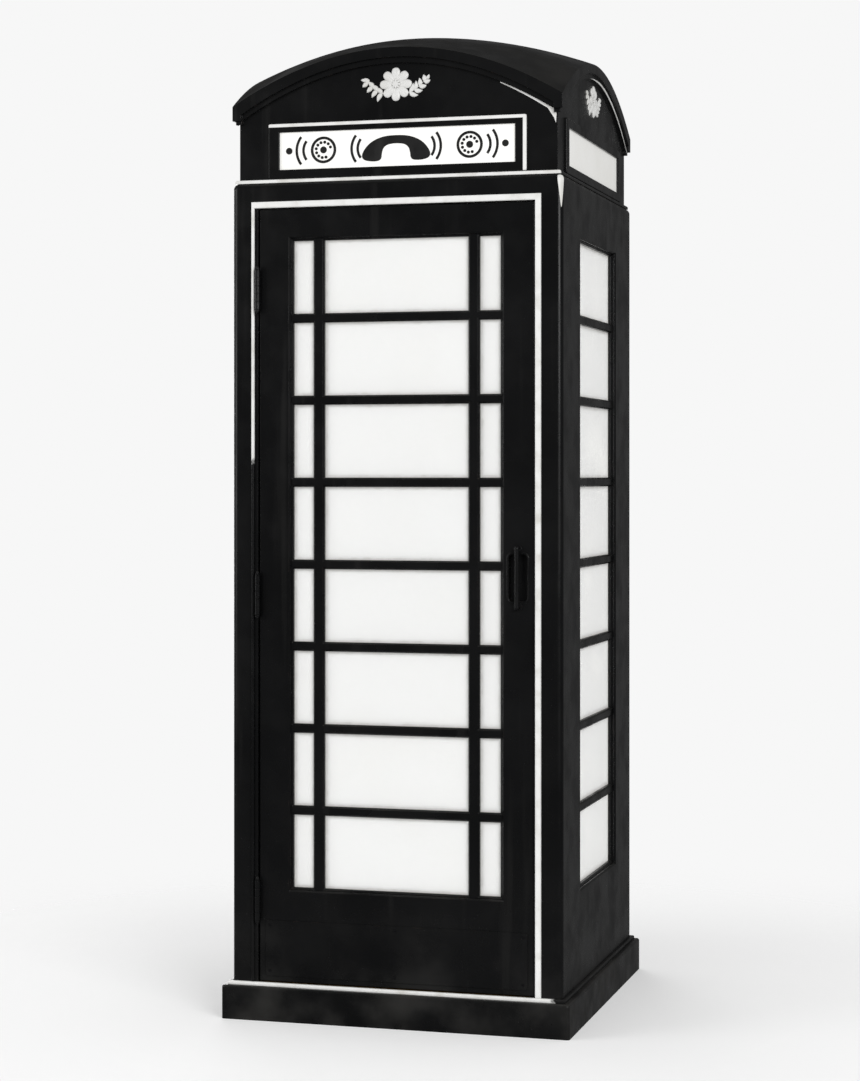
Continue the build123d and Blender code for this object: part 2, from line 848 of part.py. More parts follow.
def panes(side, field_w, set_back):
    """One glass in each rebate, as separate solids."""
    with BuildPart() as part:
        with BuildSketch(WALLS[side].offset(-set_back - BAR_T / 2)):
            for place, width, height in pane_places(field_w):
                with Locations(place):
                    Rectangle(width + 2 * GLASS_LAP - 1, height + 2 * GLASS_LAP - 1)
        extrude(amount=-GLASS_T)
    return part


# ---------------------------------------------------------------- door


def door_leaf():
    """Door leaf: stiles and rails round the glazing field, with a pocket behind the pull."""
    face = WALLS["front"].offset(-LEAF_SET_BACK)
    half_field = DOOR_FIELD_W / 2 + RIM
    with BuildPart() as part:
        with BuildSketch(face):
            rectangle_between(-LEAF_X, LEAF_X, LEAF_Z, LEAF_TOP)
            low, high = FIELD_Z - RIM, FIELD_Z + FIELD_H + RIM
            rectangle_between(-half_field, half_field, low, high, Mode.SUBTRACT)
        extrude(amount=-LEAF_T)
        outer = part.faces().filter_by(Axis.Y).sort_by(Axis.Y)[0]
        chamfer(outer.inner_wires()[0].edges(), DOOR_GLAZING_BACK - 2)
        fillet(outer.outer_wire().edges(), LEAF_ROUND)
        with BuildSketch(face):
            with Locations((PULL_X, PULL_Z)):
                RectangleRounded(PULL_POCKET_W, PULL_POCKET_H, PULL_POCKET_ROUND)
        extrude(amount=-PULL_POCKET_D, mode=Mode.SUBTRACT)
    return part


def door_kick_plate():
    """Thin plate that guards the bottom rail, with six countersunk screws drawn as dimples."""
    with BuildPart() as part:
        with BuildSketch(WALLS["front"].offset(-LEAF_SET_BACK)):
            with Locations((0, KICK_Z)):
                RectangleRounded(KICK_W, KICK_H, KICK_ROUND)
        extrude(amount=KICK_T)
        with BuildSketch(WALLS["front"].offset(-LEAF_SET_BACK + KICK_T)):
            with Locations((0, KICK_Z)):
                with GridLocations(KICK_W / 2 - KICK_SCREW_INSET, KICK_H - 2 * KICK_SCREW_INSET, 3, 2):
                    Circle(KICK_SCREW_R)
        extrude(amount=-KICK_SCREW_SINK, mode=Mode.SUBTRACT)
    return part


def door_pull():
    """Upright bar on two posts, which stands over the pocket in the door."""
    face = WALLS["front"].offset(-LEAF_SET_BACK)
    leaf_y = -HALF + LEAF_SET_BACK
    bar_y = leaf_y - PULL_STAND_OFF
    bar_half = PULL_POST_OFFSET + PULL_BAR_R / 2
    ends = (PULL_Z - PULL_POST_OFFSET, PULL_Z + PULL_POST_OFFSET)
    with BuildPart() as part:
        with BuildSketch(face):
            with Locations([(PULL_X, z) for z in ends]):
                Circle(PULL_ROSE_R)
        extrude(amount=PULL_ROSE_T)
        for z in ends:
            low = (PULL_X - PULL_BAR_R, bar_y, z - PULL_BAR_R)
            box_between(low, (PULL_X + PULL_BAR_R, leaf_y, z + PULL_BAR_R))
        with Locations((PULL_X, bar_y, PULL_Z)):
            Cylinder(PULL_BAR_R, 2 * bar_half)
            with Locations((0, 0, bar_half), (0, 0, -bar_half)):
                Sphere(PULL_BAR_R)
    return part


def door_seal():
    """Rubber strip on the door stop, up both sides and across the head."""
    stop_top = JAMB_TOP - (JAMB_X - STOP_X)
    with BuildPart() as part:
        with BuildSketch(WALLS["front"].offset(-(WALL_T - STOP_T))):
            low = PLINTH_H + SILL_T + SEAL_FOOT_GAP
            rectangle_between(-STOP_X - SEAL_W, STOP_X + SEAL_W, low, stop_top + SEAL_W)
            rectangle_between(-STOP_X, STOP_X, low, stop_top, Mode.SUBTRACT)
        extrude(amount=WALL_T - STOP_T - LEAF_SET_BACK - LEAF_T - SEAL_GAP)
    return part


def hinge_halves(is_door):
    """The three hinge leaves of one side with their share of the knuckles, bored for the pin."""
    knuckle_h = HINGE_H / KNUCKLES
    first = 1 if is_door else 0
    plate_x = -LEAF_X - HINGE_LEAF_T if is_door else -JAMB_X
    plate_end = PIN_Y + HINGE_LEAF_W
    with BuildPart() as part:
        for middle in HINGE_ZS:
            low = middle - HINGE_H / 2
            box_between(
                (plate_x, PIN_Y + KNUCKLE_R + HINGE_LEAF_GAP, low),
                (plate_x + HINGE_LEAF_T, plate_end, low + HINGE_H),
            )
            for number in range(first, KNUCKLES, 2):
                bottom = low + number * knuckle_h + KNUCKLE_GAP
                top = low + (number + 1) * knuckle_h - KNUCKLE_GAP
                box_between((plate_x, PIN_Y, bottom), (plate_x + HINGE_LEAF_T, plate_end, top))
                with Locations((PIN_X, PIN_Y, (bottom + top) / 2)):
                    Cylinder(KNUCKLE_R, top - bottom)
        for middle in HINGE_ZS:
            with Locations((PIN_X, PIN_Y, middle)):
                Cylinder(HINGE_PIN_R + RUNNING_GAP, HINGE_H, mode=Mode.SUBTRACT)
    return part


def hinge_pins():
    """Three hinge pins with a turned finial at each end."""
    with BuildPart() as part:
        for middle in HINGE_ZS:
            with Locations((PIN_X, PIN_Y, middle)):
                Cylinder(HINGE_PIN_R, HINGE_H + FINIAL_T)
            for end in (-1, 1):
                with Locations((PIN_X, PIN_Y, middle + end * (HINGE_H / 2 + FINIAL_GAP + FINIAL_T / 2))):
                    Cylinder(KNUCKLE_R - 1, FINIAL_T)
                with Locations((PIN_X, PIN_Y, middle + end * (HINGE_H / 2 + FINIAL_BALL_OFFSET))):
                    Sphere(FINIAL_BALL_R)
    return part


# ---------------------------------------------------------------- inside the kiosk


def corner_angles():
    """Four steel angles that tie the walls together at the inner corners."""
    foot, top = PLINTH_H + FLOOR_T, WALL_TOP - CEILING_T
    with BuildPart() as part:
        for x in (-1, 1):
            for y in (-1, 1):
                along_side = sorted((x * INNER, x * (INNER - ANGLE_T)))
                reach = sorted((y * INNER, y * (INNER - ANGLE_LEG)))
                box_between((along_side[0], reach[0], foot), (along_side[1], reach[1], top))
                across = sorted((x * INNER, x * (INNER - ANGLE_SHORT_LEG)))
                thin = sorted((y * INNER, y * (INNER - ANGLE_T)))
                box_between((across[0], thin[0], foot), (across[1], thin[1], top))
    return part


def corner_bolts():
    """Bolt heads along the corner angles, four to each."""
    bolt_y = INNER - ANGLE_LEG * ANGLE_BOLT_LINE
    with BuildPart() as part:
        for x in (-1, 1):
            face = Plane(origin=(x * (INNER - ANGLE_T), 0, 0), x_dir=(0, -x, 0), z_dir=(-x, 0, 0))
            with BuildSketch(face):
                with Locations([(y, z) for y in (-bolt_y, bolt_y) for z in ANGLE_BOLT_ZS]):
                    RegularPolygon(ANGLE_BOLT_HEAD, 6)
            extrude(amount=ANGLE_BOLT_HEAD_T)
    return part


def backboard():
    """Plywood board on the back wall that carries the telephone."""
    with BuildPart() as part:
        box_between((-BOARD_X, BOARD_Y, BOARD_LOW), (BOARD_X, INNER, BOARD_TOP))
        fillet(part.edges().filter_by(Axis.Y), BOARD_ROUND)
    return part


def directory_shelf():
    """Parcel and directory shelf with a raised front lip, notched for the conduit."""
    with BuildPart() as part:
        box_between((-SHELF_X, SHELF_Y, SHELF_Z), (SHELF_X, BOARD_Y, SHELF_Z + SHELF_T))
        lip_top = SHELF_Z + SHELF_T + SHELF_LIP_H
        box_between((-SHELF_X, SHELF_Y, SHELF_Z), (SHELF_X, SHELF_Y + SHELF_LIP_T, lip_top))
        fillet(part.edges().filter_by(Axis.Z).sort_by(Axis.Y)[:2], SHELF_ROUND)
        fillet(part.faces().sort_by(Axis.Z)[-1].edges().filter_by(Axis.X), SHELF_LIP_T / 4)
        notch_low = (CONDUIT_X - CONDUIT_R - 1, CONDUIT_Y - CONDUIT_R - 1, SHELF_Z)
        notch_high = (CONDUIT_X + CONDUIT_R + 1, BOARD_Y, SHELF_Z + SHELF_T)
        box_between(notch_low, notch_high, Mode.SUBTRACT)
    return part


def shelf_brackets():
    """Two gusset brackets under the shelf."""
    front = BOARD_Y - BRACKET_REACH
    foot = SHELF_Z - BRACKET_DROP
    with BuildPart() as part:
        for x in (-BRACKET_X, BRACKET_X):
            with BuildSketch(Plane.YZ.offset(x - BRACKET_T / 2)):
                with BuildLine():
                    Polyline(
                        (front, SHELF_Z - BRACKET_TIP),
                        (front, SHELF_Z),
                        (BOARD_Y, SHELF_Z),
                        (BOARD_Y, foot),
                        (BOARD_Y - BRACKET_TIP, foot),
                    )
                    Bezier(
                        (BOARD_Y - BRACKET_TIP, foot),
                        (BOARD_Y - BRACKET_WAIST, SHELF_Z - BRACKET_WAIST),
                        (front, SHELF_Z - BRACKET_TIP),
                    )
                make_face()
            extrude(amount=BRACKET_T)
    return part


def conduit():
    """Steel conduit from the floor up to the telephone."""
    low = PLINTH_H
    with BuildPart() as part:
        with BuildSketch(Plane.XY.offset(low)):
            with Locations((CONDUIT_X, CONDUIT_Y)):
                Circle(CONDUIT_R)
                Circle(CONDUIT_R - CONDUIT_T, mode=Mode.SUBTRACT)
        extrude(amount=PHONE_Z - PHONE_H / 2 - low)
    return part


def conduit_saddles():
    """Two saddle clips that hold the conduit to the backboard."""
    with BuildPart() as part:
        for z in (BOARD_LOW + SADDLE_FROM_END, SHELF_Z - SADDLE_FROM_END):
            with BuildSketch(Plane.XY.offset(z)):
                with Locations((CONDUIT_X, CONDUIT_Y)):
                    Circle(CONDUIT_R + SADDLE_T)
                left, right = CONDUIT_X - SADDLE_W / 2, CONDUIT_X + SADDLE_W / 2
                rectangle_between(left, right, BOARD_Y - SADDLE_FOOT_T, BOARD_Y)
                reach = CONDUIT_R + SADDLE_T
                rectangle_between(CONDUIT_X - reach, CONDUIT_X + reach, CONDUIT_Y, BOARD_Y)
                with Locations((CONDUIT_X, CONDUIT_Y)):
                    Circle(CONDUIT_R + SADDLE_GAP, mode=Mode.SUBTRACT)
            extrude(amount=SADDLE_H)
    return part


def notice_frame():
    """Frame for the notice card beside the telephone."""
    with BuildPart() as part:
        with BuildSketch(Plane.XZ.offset(-BOARD_Y)):
            with Locations((NOTICE_X, NOTICE_Z)):
                RectangleRounded(NOTICE_W, NOTICE_H, NOTICE_RIM / 3)
                Rectangle(NOTICE_W - 2 * NOTICE_RIM, NOTICE_H - 2 * NOTICE_RIM, mode=Mode.SUBTRACT)
        extrude(amount=NOTICE_T)
        fillet(part.faces().sort_by(Axis.Y)[0].edges(), NOTICE_T / 4)
    return part


def notice_card():
    """Card in the notice frame."""
    with BuildPart() as part:
        with BuildSketch(Plane.XZ.offset(-BOARD_Y)):
            with Locations((NOTICE_X, NOTICE_Z)):
                Rectangle(NOTICE_W - 2 * NOTICE_RIM, NOTICE_H - 2 * NOTICE_RIM)
        extrude(amount=CARD_T)
    return part


def mirror():
    """Small bevelled mirror above the telephone."""
    with BuildPart() as part:
        with BuildSketch(Plane.XZ.offset(-BOARD_Y)):
            with Locations((0, MIRROR_Z)):
                Rectangle(MIRROR_W, MIRROR_H)
        extrude(amount=MIRROR_T)
        chamfer(part.faces().sort_by(Axis.Y)[0].edges(), MIRROR_BEVEL)
    return part


# ---------------------------------------------------------------- coin telephone


def phone_case():
    """Back shell of the telephone, open at the front, with holes for the hook shaft and the conduit."""
    rim = PHONE_FACE.offset(-COVER_DEPTH)
    with BuildPart() as part:
        with BuildSketch(rim):
            with Locations((0, PHONE_Z)):
                RectangleRounded(PHONE_W, PHONE_H, PHONE_ROUND)
        extrude(amount=-CASE_DEPTH)
        with BuildSketch(rim):
            with Locations((0, PHONE_Z)):
                RectangleRounded(PHONE_W - 2 * CASE_T, PHONE_H - 2 * CASE_T, PHONE_ROUND - CASE_T)
        extrude(amount=-(CASE_DEPTH - CASE_T), mode=Mode.SUBTRACT)
        with Locations(Location((-PHONE_W / 2, HOOK_Y, HOOK_Z), (0, 90, 0))):
            Cylinder(HOOK_SHAFT_R + RUNNING_GAP, 4 * CASE_T, mode=Mode.SUBTRACT)
        with Locations((GLAND_X, GLAND_Y, PHONE_Z - PHONE_H / 2)):
            Cylinder(GLAND_HOLE_R, 4 * CASE_T, mode=Mode.SUBTRACT)
        half_w = PHONE_W / 2 - CASE_T
        shelf_low = (-half_w, PHONE_FACE_Y + COVER_DEPTH + COVER_T, CASH_SHELF_Z)
        shelf_high = (half_w, PHONE_FACE_Y + COVER_DEPTH + CASE_DEPTH - CASE_T, CASH_SHELF_Z + CASH_SHELF_T)
        box_between(shelf_low, shelf_high)
    return part


def phone_cover():
    """Front cover of the telephone with its openings, and lugs for the cash door's pin."""
    with BuildPart() as part:
        with BuildSketch(PHONE_FACE):
            with Locations((0, PHONE_Z)):
                RectangleRounded(PHONE_W, PHONE_H, PHONE_ROUND)
        extrude(amount=-COVER_DEPTH)
        fillet(part.faces().sort_by(Axis.Y)[0].edges(), COVER_EDGE)
        with BuildSketch(PHONE_FACE.offset(-COVER_DEPTH)):
            with Locations((0, PHONE_Z)):
                RectangleRounded(PHONE_W - 2 * COVER_T, PHONE_H - 2 * COVER_T, PHONE_ROUND - COVER_T)
        extrude(amount=COVER_DEPTH - COVER_T, mode=Mode.SUBTRACT)
        with BuildSketch(PHONE_FACE):
            with Locations((DIAL_X, DIAL_Z)):
                Circle(DIAL_BARREL_R + BARREL_GAP)
            with Locations((0, CASH_Z)):
                Rectangle(CASH_DOOR_W - 2 * CASH_LAP, CASH_DOOR_H - 2 * CASH_LAP)
            with Locations((CUP_X, CUP_Z)):
                Rectangle(CUP_W, CUP_H)
            with Locations((SLOTS_X, SLOTS_Z)):
                Rectangle(SLOTS_OPENING_W, SLOTS_OPENING_H)
            with Locations((BUTTON_X, BUTTON_Z)):
                Circle(BUTTON_R + RUNNING_GAP)
        extrude(amount=-COVER_T, mode=Mode.SUBTRACT)
        pin_y = PHONE_FACE_Y - CASH_PIN_OUT
        lug_offset = CASH_DOOR_H / 2 - CASH_LUG_INSET
        for z in (CASH_Z - lug_offset, CASH_Z + lug_offset):
            low = (CASH_PIN_X - CASH_PIN_OUT, pin_y, z - CASH_LUG_H / 2)
            box_between(low, (CASH_PIN_X + CASH_PIN_OUT, PHONE_FACE_Y, z + CASH_LUG_H / 2))
            with Locations((CASH_PIN_X, pin_y, z)):
                Cylinder(CASH_BARREL_R, CASH_LUG_H)
        with Locations((CASH_PIN_X, pin_y, CASH_Z)):
            Cylinder(CASH_PIN_R, 2 * lug_offset)
        with Locations(Location((CUP_X, PHONE_FACE_Y + COVER_T / 2, FLAP_PIN_Z), (0, 90, 0))):
            Cylinder(FLAP_PIN_R + RUNNING_GAP, CUP_W + 2 * FLAP_PIN_HOLE, mode=Mode.SUBTRACT)
    return part


def cash_door():
    """Steel door over the cash box, with a barrel on its hinge edge and a hole for the lock."""
    left = CASH_PIN_X + CASH_PIN_OUT + 1
    pin_y = PHONE_FACE_Y - CASH_PIN_OUT
    half_h = CASH_DOOR_H / 2 - CASH_LUG_INSET - CASH_LUG_H / 2 - CASH_BARREL_GAP
    with BuildPart() as part:
        low = (left, PHONE_FACE_Y - CASH_DOOR_T, CASH_Z - CASH_DOOR_H / 2)
        box_between(low, (-left, PHONE_FACE_Y, CASH_Z + CASH_DOOR_H / 2))
        fillet(part.edges().filter_by(Axis.Y).sort_by(Axis.X)[-2:], CASH_DOOR_ROUND)
        chamfer(part.faces().sort_by(Axis.Y)[0].edges().sort_by(Axis.X)[1:], CASH_DOOR_T / 4)
        web = (CASH_PIN_X, pin_y - CASH_WEB_T / 2, CASH_Z - half_h)
        box_between(web, (left + CASH_WEB_T, pin_y + CASH_WEB_T / 2, CASH_Z + half_h))
        with Locations((CASH_PIN_X, pin_y, CASH_Z)):
            Cylinder(CASH_BARREL_R, 2 * half_h)
            Cylinder(CASH_PIN_R + RUNNING_GAP, CASH_DOOR_H, mode=Mode.SUBTRACT)
        with Locations(Location((LOCK_X, PHONE_FACE_Y, CASH_Z), (90, 0, 0))):
            Cylinder(LOCK_R, 4 * CASH_DOOR_T, mode=Mode.SUBTRACT)
    return part


def cash_lock():
    """Lock barrel in the cash door, with a keyway."""
    with BuildPart() as part:
        with BuildSketch(PHONE_FACE.offset(LOCK_PROUD)):
            with Locations((LOCK_X, CASH_Z)):
                Circle(LOCK_R)
        extrude(amount=-LOCK_L)
        chamfer(part.faces().sort_by(Axis.Y)[0].edges(), 1)
        with BuildSketch(PHONE_FACE.offset(LOCK_PROUD)):
            with Locations((LOCK_X, CASH_Z)):
                Rectangle(KEYWAY_W, KEYWAY_H)
                Circle(KEYWAY_R)
        extrude(amount=-KEYWAY_D, mode=Mode.SUBTRACT)
    return part


def cash_box():
    """Tin behind the cash door that collects the coins through a slot in its top."""
    front = PHONE_FACE_Y + CASH_BOX_GAP
    low = (-CASH_BOX_X, front, CASH_SHELF_Z + CASH_SHELF_T)
    high = (CASH_BOX_X, front + CASH_BOX_DEPTH, CASH_TOP)
    with BuildPart() as part:
        box_between(low, high)
        fillet(part.edges().filter_by(Axis.Z), COVER_EDGE)
        box_between([v + CASH_BOX_T for v in low], [v - CASH_BOX_T for v in high], Mode.SUBTRACT)
        with BuildSketch(Plane.XY.offset(CASH_TOP)):
            with Locations((SLOTS_X, CHUTE_Y)):
                Rectangle(CHUTE_W - 4 * CHUTE_T, CHUTE_DEPTH / 2)
        extrude(amount=-2 * CASH_BOX_T, mode=Mode.SUBTRACT)
    return part


def coin_slot_plate():
    """Bright plate with three coin slots."""
    with BuildPart() as part:
        with BuildSketch(PHONE_FACE):
            with Locations((SLOTS_X, SLOTS_Z)):
                RectangleRounded(SLOTS_W, SLOTS_H, COVER_EDGE)
                with GridLocations(SLOT_PITCH, 0, 3, 1):
                    Rectangle(SLOT_W, SLOT_H, mode=Mode.SUBTRACT)
        extrude(amount=SLOTS_T)
        chamfer(part.faces().sort_by(Axis.Y)[0].outer_wire().edges(), SLOTS_T / 3)
    return part


def coin_mechanism():
    """Coin validator behind the slots, two side plates with runways, and its chute to the cash box."""
    front = PHONE_FACE_Y + 2 * COVER_T
    back = PHONE_FACE_Y + COVER_DEPTH + CASE_DEPTH - CASE_T
    low, high = CUP_Z + MECHANISM_FOOT, SLOTS_Z + MECHANISM_RISE
    left, right = SLOTS_X - MECHANISM_HALF_W, SLOTS_X + MECHANISM_HALF_W
    runway_front, runway_back = front + RUNWAY_INSET, front + RUNWAY_INSET + RUNWAY_L
    with BuildPart() as part:
        for x in (left, right - MECHANISM_T):
            box_between((x, front, low), (x + MECHANISM_T, back, high))
        for step in range(RUNWAYS):
            z = SLOTS_Z - RUNWAY_PITCH * (step + 1)
            box_between((left, runway_front, z), (right, runway_back, z + RUNWAY_T))
        box_between((left, runway_front, low), (right, runway_back, low + MECHANISM_T))
        with BuildSketch(Plane.XY.offset(CASH_TOP)):
            with Locations((SLOTS_X, CHUTE_Y)):
                Rectangle(CHUTE_W, CHUTE_DEPTH)
        extrude(amount=low - CASH_TOP)
        with BuildSketch(Plane.XY.offset(CASH_TOP)):
            with Locations((SLOTS_X, CHUTE_Y)):
                Rectangle(CHUTE_W - 2 * CHUTE_T, CHUTE_DEPTH - 2 * CHUTE_T)
        extrude(amount=low + MECHANISM_T - CASH_TOP, mode=Mode.SUBTRACT)
    return part


def coin_return_cup():
    """Pocket behind the return flap."""
    back = PHONE_FACE.offset(-COVER_T)
    with BuildPart() as part:
        with BuildSketch(back):
            with Locations((CUP_X, CUP_Z)):
                Rectangle(CUP_W + 2 * CUP_T, CUP_H + 2 * CUP_T)
        extrude(amount=-CUP_DEPTH)
        with BuildSketch(back):
            with Locations((CUP_X, CUP_Z)):
                Rectangle(CUP_W, CUP_H)
        extrude(amount=-(CUP_DEPTH - CUP_T), mode=Mode.SUBTRACT)
    return part


def return_flap():
    """Flap over the coin return, hung from its top edge."""
    grip_low = CUP_Z - CUP_H / 2 + FLAP_GRIP_RISE
    half_grip = FLAP_GRIP_W / 2
    with BuildPart() as part:
        with BuildSketch(PHONE_FACE.offset(-FLAP_GAP)):
            with Locations((CUP_X, CUP_Z)):
                RectangleRounded(CUP_W - 2 * FLAP_GAP, CUP_H - 2 * FLAP_GAP, FLAP_T)
        extrude(amount=-FLAP_T)
        box_between(
            (CUP_X - half_grip, PHONE_FACE_Y - FLAP_GRIP_RISE, grip_low),
            (CUP_X + half_grip, PHONE_FACE_Y + FLAP_GAP, grip_low + FLAP_GRIP_RISE),
        )
        with Locations(Location((CUP_X, PHONE_FACE_Y + COVER_T / 2, FLAP_PIN_Z), (0, 90, 0))):
            Cylinder(FLAP_PIN_R, CUP_W + 2 * FLAP_PIN_BITE)
    return part


def return_button():
    """Coin return button with a flange that stops it after its travel."""
    with BuildPart() as part:
        with Locations(Location((BUTTON_X, PHONE_FACE_Y + BUTTON_STEM_Y, BUTTON_Z), (90, 0, 0))):
            Cylinder(BUTTON_R, BUTTON_L)
        with Locations(Location((BUTTON_X, PHONE_FACE_Y - BUTTON_FLANGE_Y, BUTTON_Z), (90, 0, 0))):
            Cylinder(BUTTON_R + BUTTON_FLANGE, BUTTON_FLANGE_T)
        fillet(part.faces().sort_by(Axis.Y)[0].edges(), BUTTON_ROUND)
    return part


def dial_plate():
    """Number plate of the dial, with the dial mechanism's barrel behind it."""
    with BuildPart() as part:
        with BuildSketch(PHONE_FACE):
            with Locations((DIAL_X, DIAL_Z)):
                Circle(DIAL_R)
        extrude(amount=DIAL_PLATE_T)
        fillet(part.faces().sort_by(Axis.Y)[0].edges(), DIAL_PLATE_EDGE)
        with BuildSketch(PHONE_FACE):
            with Locations((DIAL_X, DIAL_Z)):
                Circle(DIAL_BARREL_R)
        extrude(amount=-DIAL_DEPTH)
        with BuildSketch(PHONE_FACE.offset(DIAL_PLATE_T)):
            with Locations((DIAL_X, DIAL_Z)):
                Circle(DIAL_SHAFT_R + RUNNING_GAP)
        extrude(amount=-DIAL_DEPTH, mode=Mode.SUBTRACT)
    return part


def finger_wheel():
    """Finger wheel with its holes, a centre boss and the shaft it turns on."""
    back = PHONE_FACE.offset(DIAL_PLATE_T + WHEEL_GAP)
    with BuildPart() as part:
        with BuildSketch(back):
            with Locations((DIAL_X, DIAL_Z)):
                Circle(WHEEL_R)
                with PolarLocations(
                    FINGER_PITCH_R, FINGER_HOLES, FIRST_HOLE_DEG, HOLES_SWEEP_DEG, endpoint=True
                ):
                    Circle(FINGER_HOLE_R, mode=Mode.SUBTRACT)
        extrude(amount=WHEEL_T)
        with BuildSketch(back.offset(WHEEL_T)):
            with Locations((DIAL_X, DIAL_Z)):
                Circle(WHEEL_BOSS_R)
        extrude(amount=WHEEL_BOSS_T)
        fillet(part.faces().sort_by(Axis.Y)[0].edges(), WHEEL_BOSS_T / 2)
        with BuildSketch(back):
            with Locations((DIAL_X, DIAL_Z)):
                Circle(DIAL_SHAFT_R)
        extrude(amount=-DIAL_DEPTH)
    return part


def finger_stop():
    """Bent stop that reaches over the finger wheel's rim at the lower right."""
    with BuildPart() as part:
        with Locations(Location((DIAL_X, PHONE_FACE_Y, DIAL_Z), (0, STOP_DEG, 0))):
            with Locations((WHEEL_R + STOP_POST_T, -DIAL_PLATE_T - STOP_POST_H / 2, 0)):
                Box(STOP_POST_T, STOP_POST_H, STOP_W)
            with Locations((WHEEL_R - STOP_BLADE_INSET, -DIAL_PLATE_T - STOP_POST_H + STOP_BLADE_T / 2, 0)):
                Box(STOP_BLADE_L, STOP_BLADE_T, STOP_W)
    return part


def instruction_plate():
    """Enamelled plate for the dialling instructions."""
    with BuildPart() as part:
        with BuildSketch(PHONE_FACE):
            with Locations((PLATE_X, SLOTS_Z)):
                RectangleRounded(PLATE_W, SLOTS_H, COVER_T)
        extrude(amount=PLATE_T)
    return part


def switch_hook():
    """Forked hook on a cross shaft, which the hung-up handset holds down."""
    prong_back, prong_front = HOOK_Y, HANDSET_Y - FORK_REACH
    low, high = HOOK_Z - HOOK_HALF_H, HOOK_Z + HOOK_HALF_H
    with BuildPart() as part:
        for side in (-1, 1):
            near, far = sorted((HANDSET_X + side * FORK_IN, HANDSET_X + side * FORK_OUT))
            box_between((near, prong_front, low), (far, prong_back, high))
        box_between(
            (HANDSET_X - FORK_OUT, prong_back - FORK_HUB, low),
            (HANDSET_X + FORK_OUT, prong_back + FORK_HUB, high),
        )
        fillet(part.edges().filter_by(Axis.Z), FORK_HUB / 4)
        shaft_x = HANDSET_X + FORK_OUT - FORK_SHAFT_LAP + HOOK_SHAFT_L / 2
        with Locations(Location((shaft_x, HOOK_Y, HOOK_Z), (0, 90, 0))):
            Cylinder(HOOK_SHAFT_R, HOOK_SHAFT_L)
    return part


def handset_handle():
    """Handset grip: a bowed bar that swells into the two ends."""
    back_y = HANDSET_Y + GRIP_BACK
    with BuildPart() as part:
        with BuildLine() as path:
            Bezier(
                (HANDSET_X, back_y - GRIP_TUCK, MOUTH_Z),
                (HANDSET_X, back_y + GRIP_BOW, (MOUTH_Z + EAR_Z) / 2),
                (HANDSET_X, back_y - GRIP_TUCK, EAR_Z),
            )
        with BuildSketch(Plane(origin=path.line @ 0, z_dir=path.line % 0)):
            Ellipse(GRIP_W, GRIP_T)
        sweep()
        for z in (MOUTH_Z, EAR_Z):
            with Locations(Location((HANDSET_X, HANDSET_Y + GRIP_BACK / 2, z), (90, 0, 0))):
                Cone(CAP_R - CAP_ROUND, CAP_R, CAP_DEPTH - CAP_FIT)
            with Locations((HANDSET_X, back_y, z)):
                Sphere(GRIP_SWELL_R)
    return part


def handset_caps():
    """Earpiece and mouthpiece caps, each pierced with a ring of holes."""
    with BuildPart() as part:
        for z in (EAR_Z, MOUTH_Z):
            face = Plane(origin=(HANDSET_X, HANDSET_Y - CAP_FIT, z), x_dir=(1, 0, 0), z_dir=(0, -1, 0))
            with BuildSketch(face):
                Circle(CAP_R)
            extrude(amount=CAP_DEPTH)
        front = part.faces().filter_by(Axis.Y).group_by(Axis.Y)[0]
        fillet(front.edges(), CAP_ROUND)
        for z in (EAR_Z, MOUTH_Z):
            front_y = HANDSET_Y - CAP_FIT - CAP_DEPTH
            face = Plane(origin=(HANDSET_X, front_y, z), x_dir=(1, 0, 0), z_dir=(0, -1, 0))
            with BuildSketch(face):
                Circle(CAP_HOLE_R)
                with PolarLocations(CAP_HOLE_RING, CAP_HOLES):
                    Circle(CAP_HOLE_R)
            extrude(amount=-CAP_HOLE_D, mode=Mode.SUBTRACT)
    return part


def cord_gland():
    """Gland under the telephone where the handset cord would enter."""
    with BuildPart() as part:
        with Locations((GLAND_X, GLAND_Y, PHONE_Z - PHONE_H / 2)):
            Cylinder(GLAND_R, GLAND_H, align=(Align.CENTER, Align.CENTER, Align.MAX))
            Cylinder(GLAND_NECK_R, GLAND_NECK_H, align=(Align.CENTER, Align.CENTER, Align.MIN))
            Cylinder(GLAND_BORE_R, 4 * GLAND_H, mode=Mode.SUBTRACT)
    return part


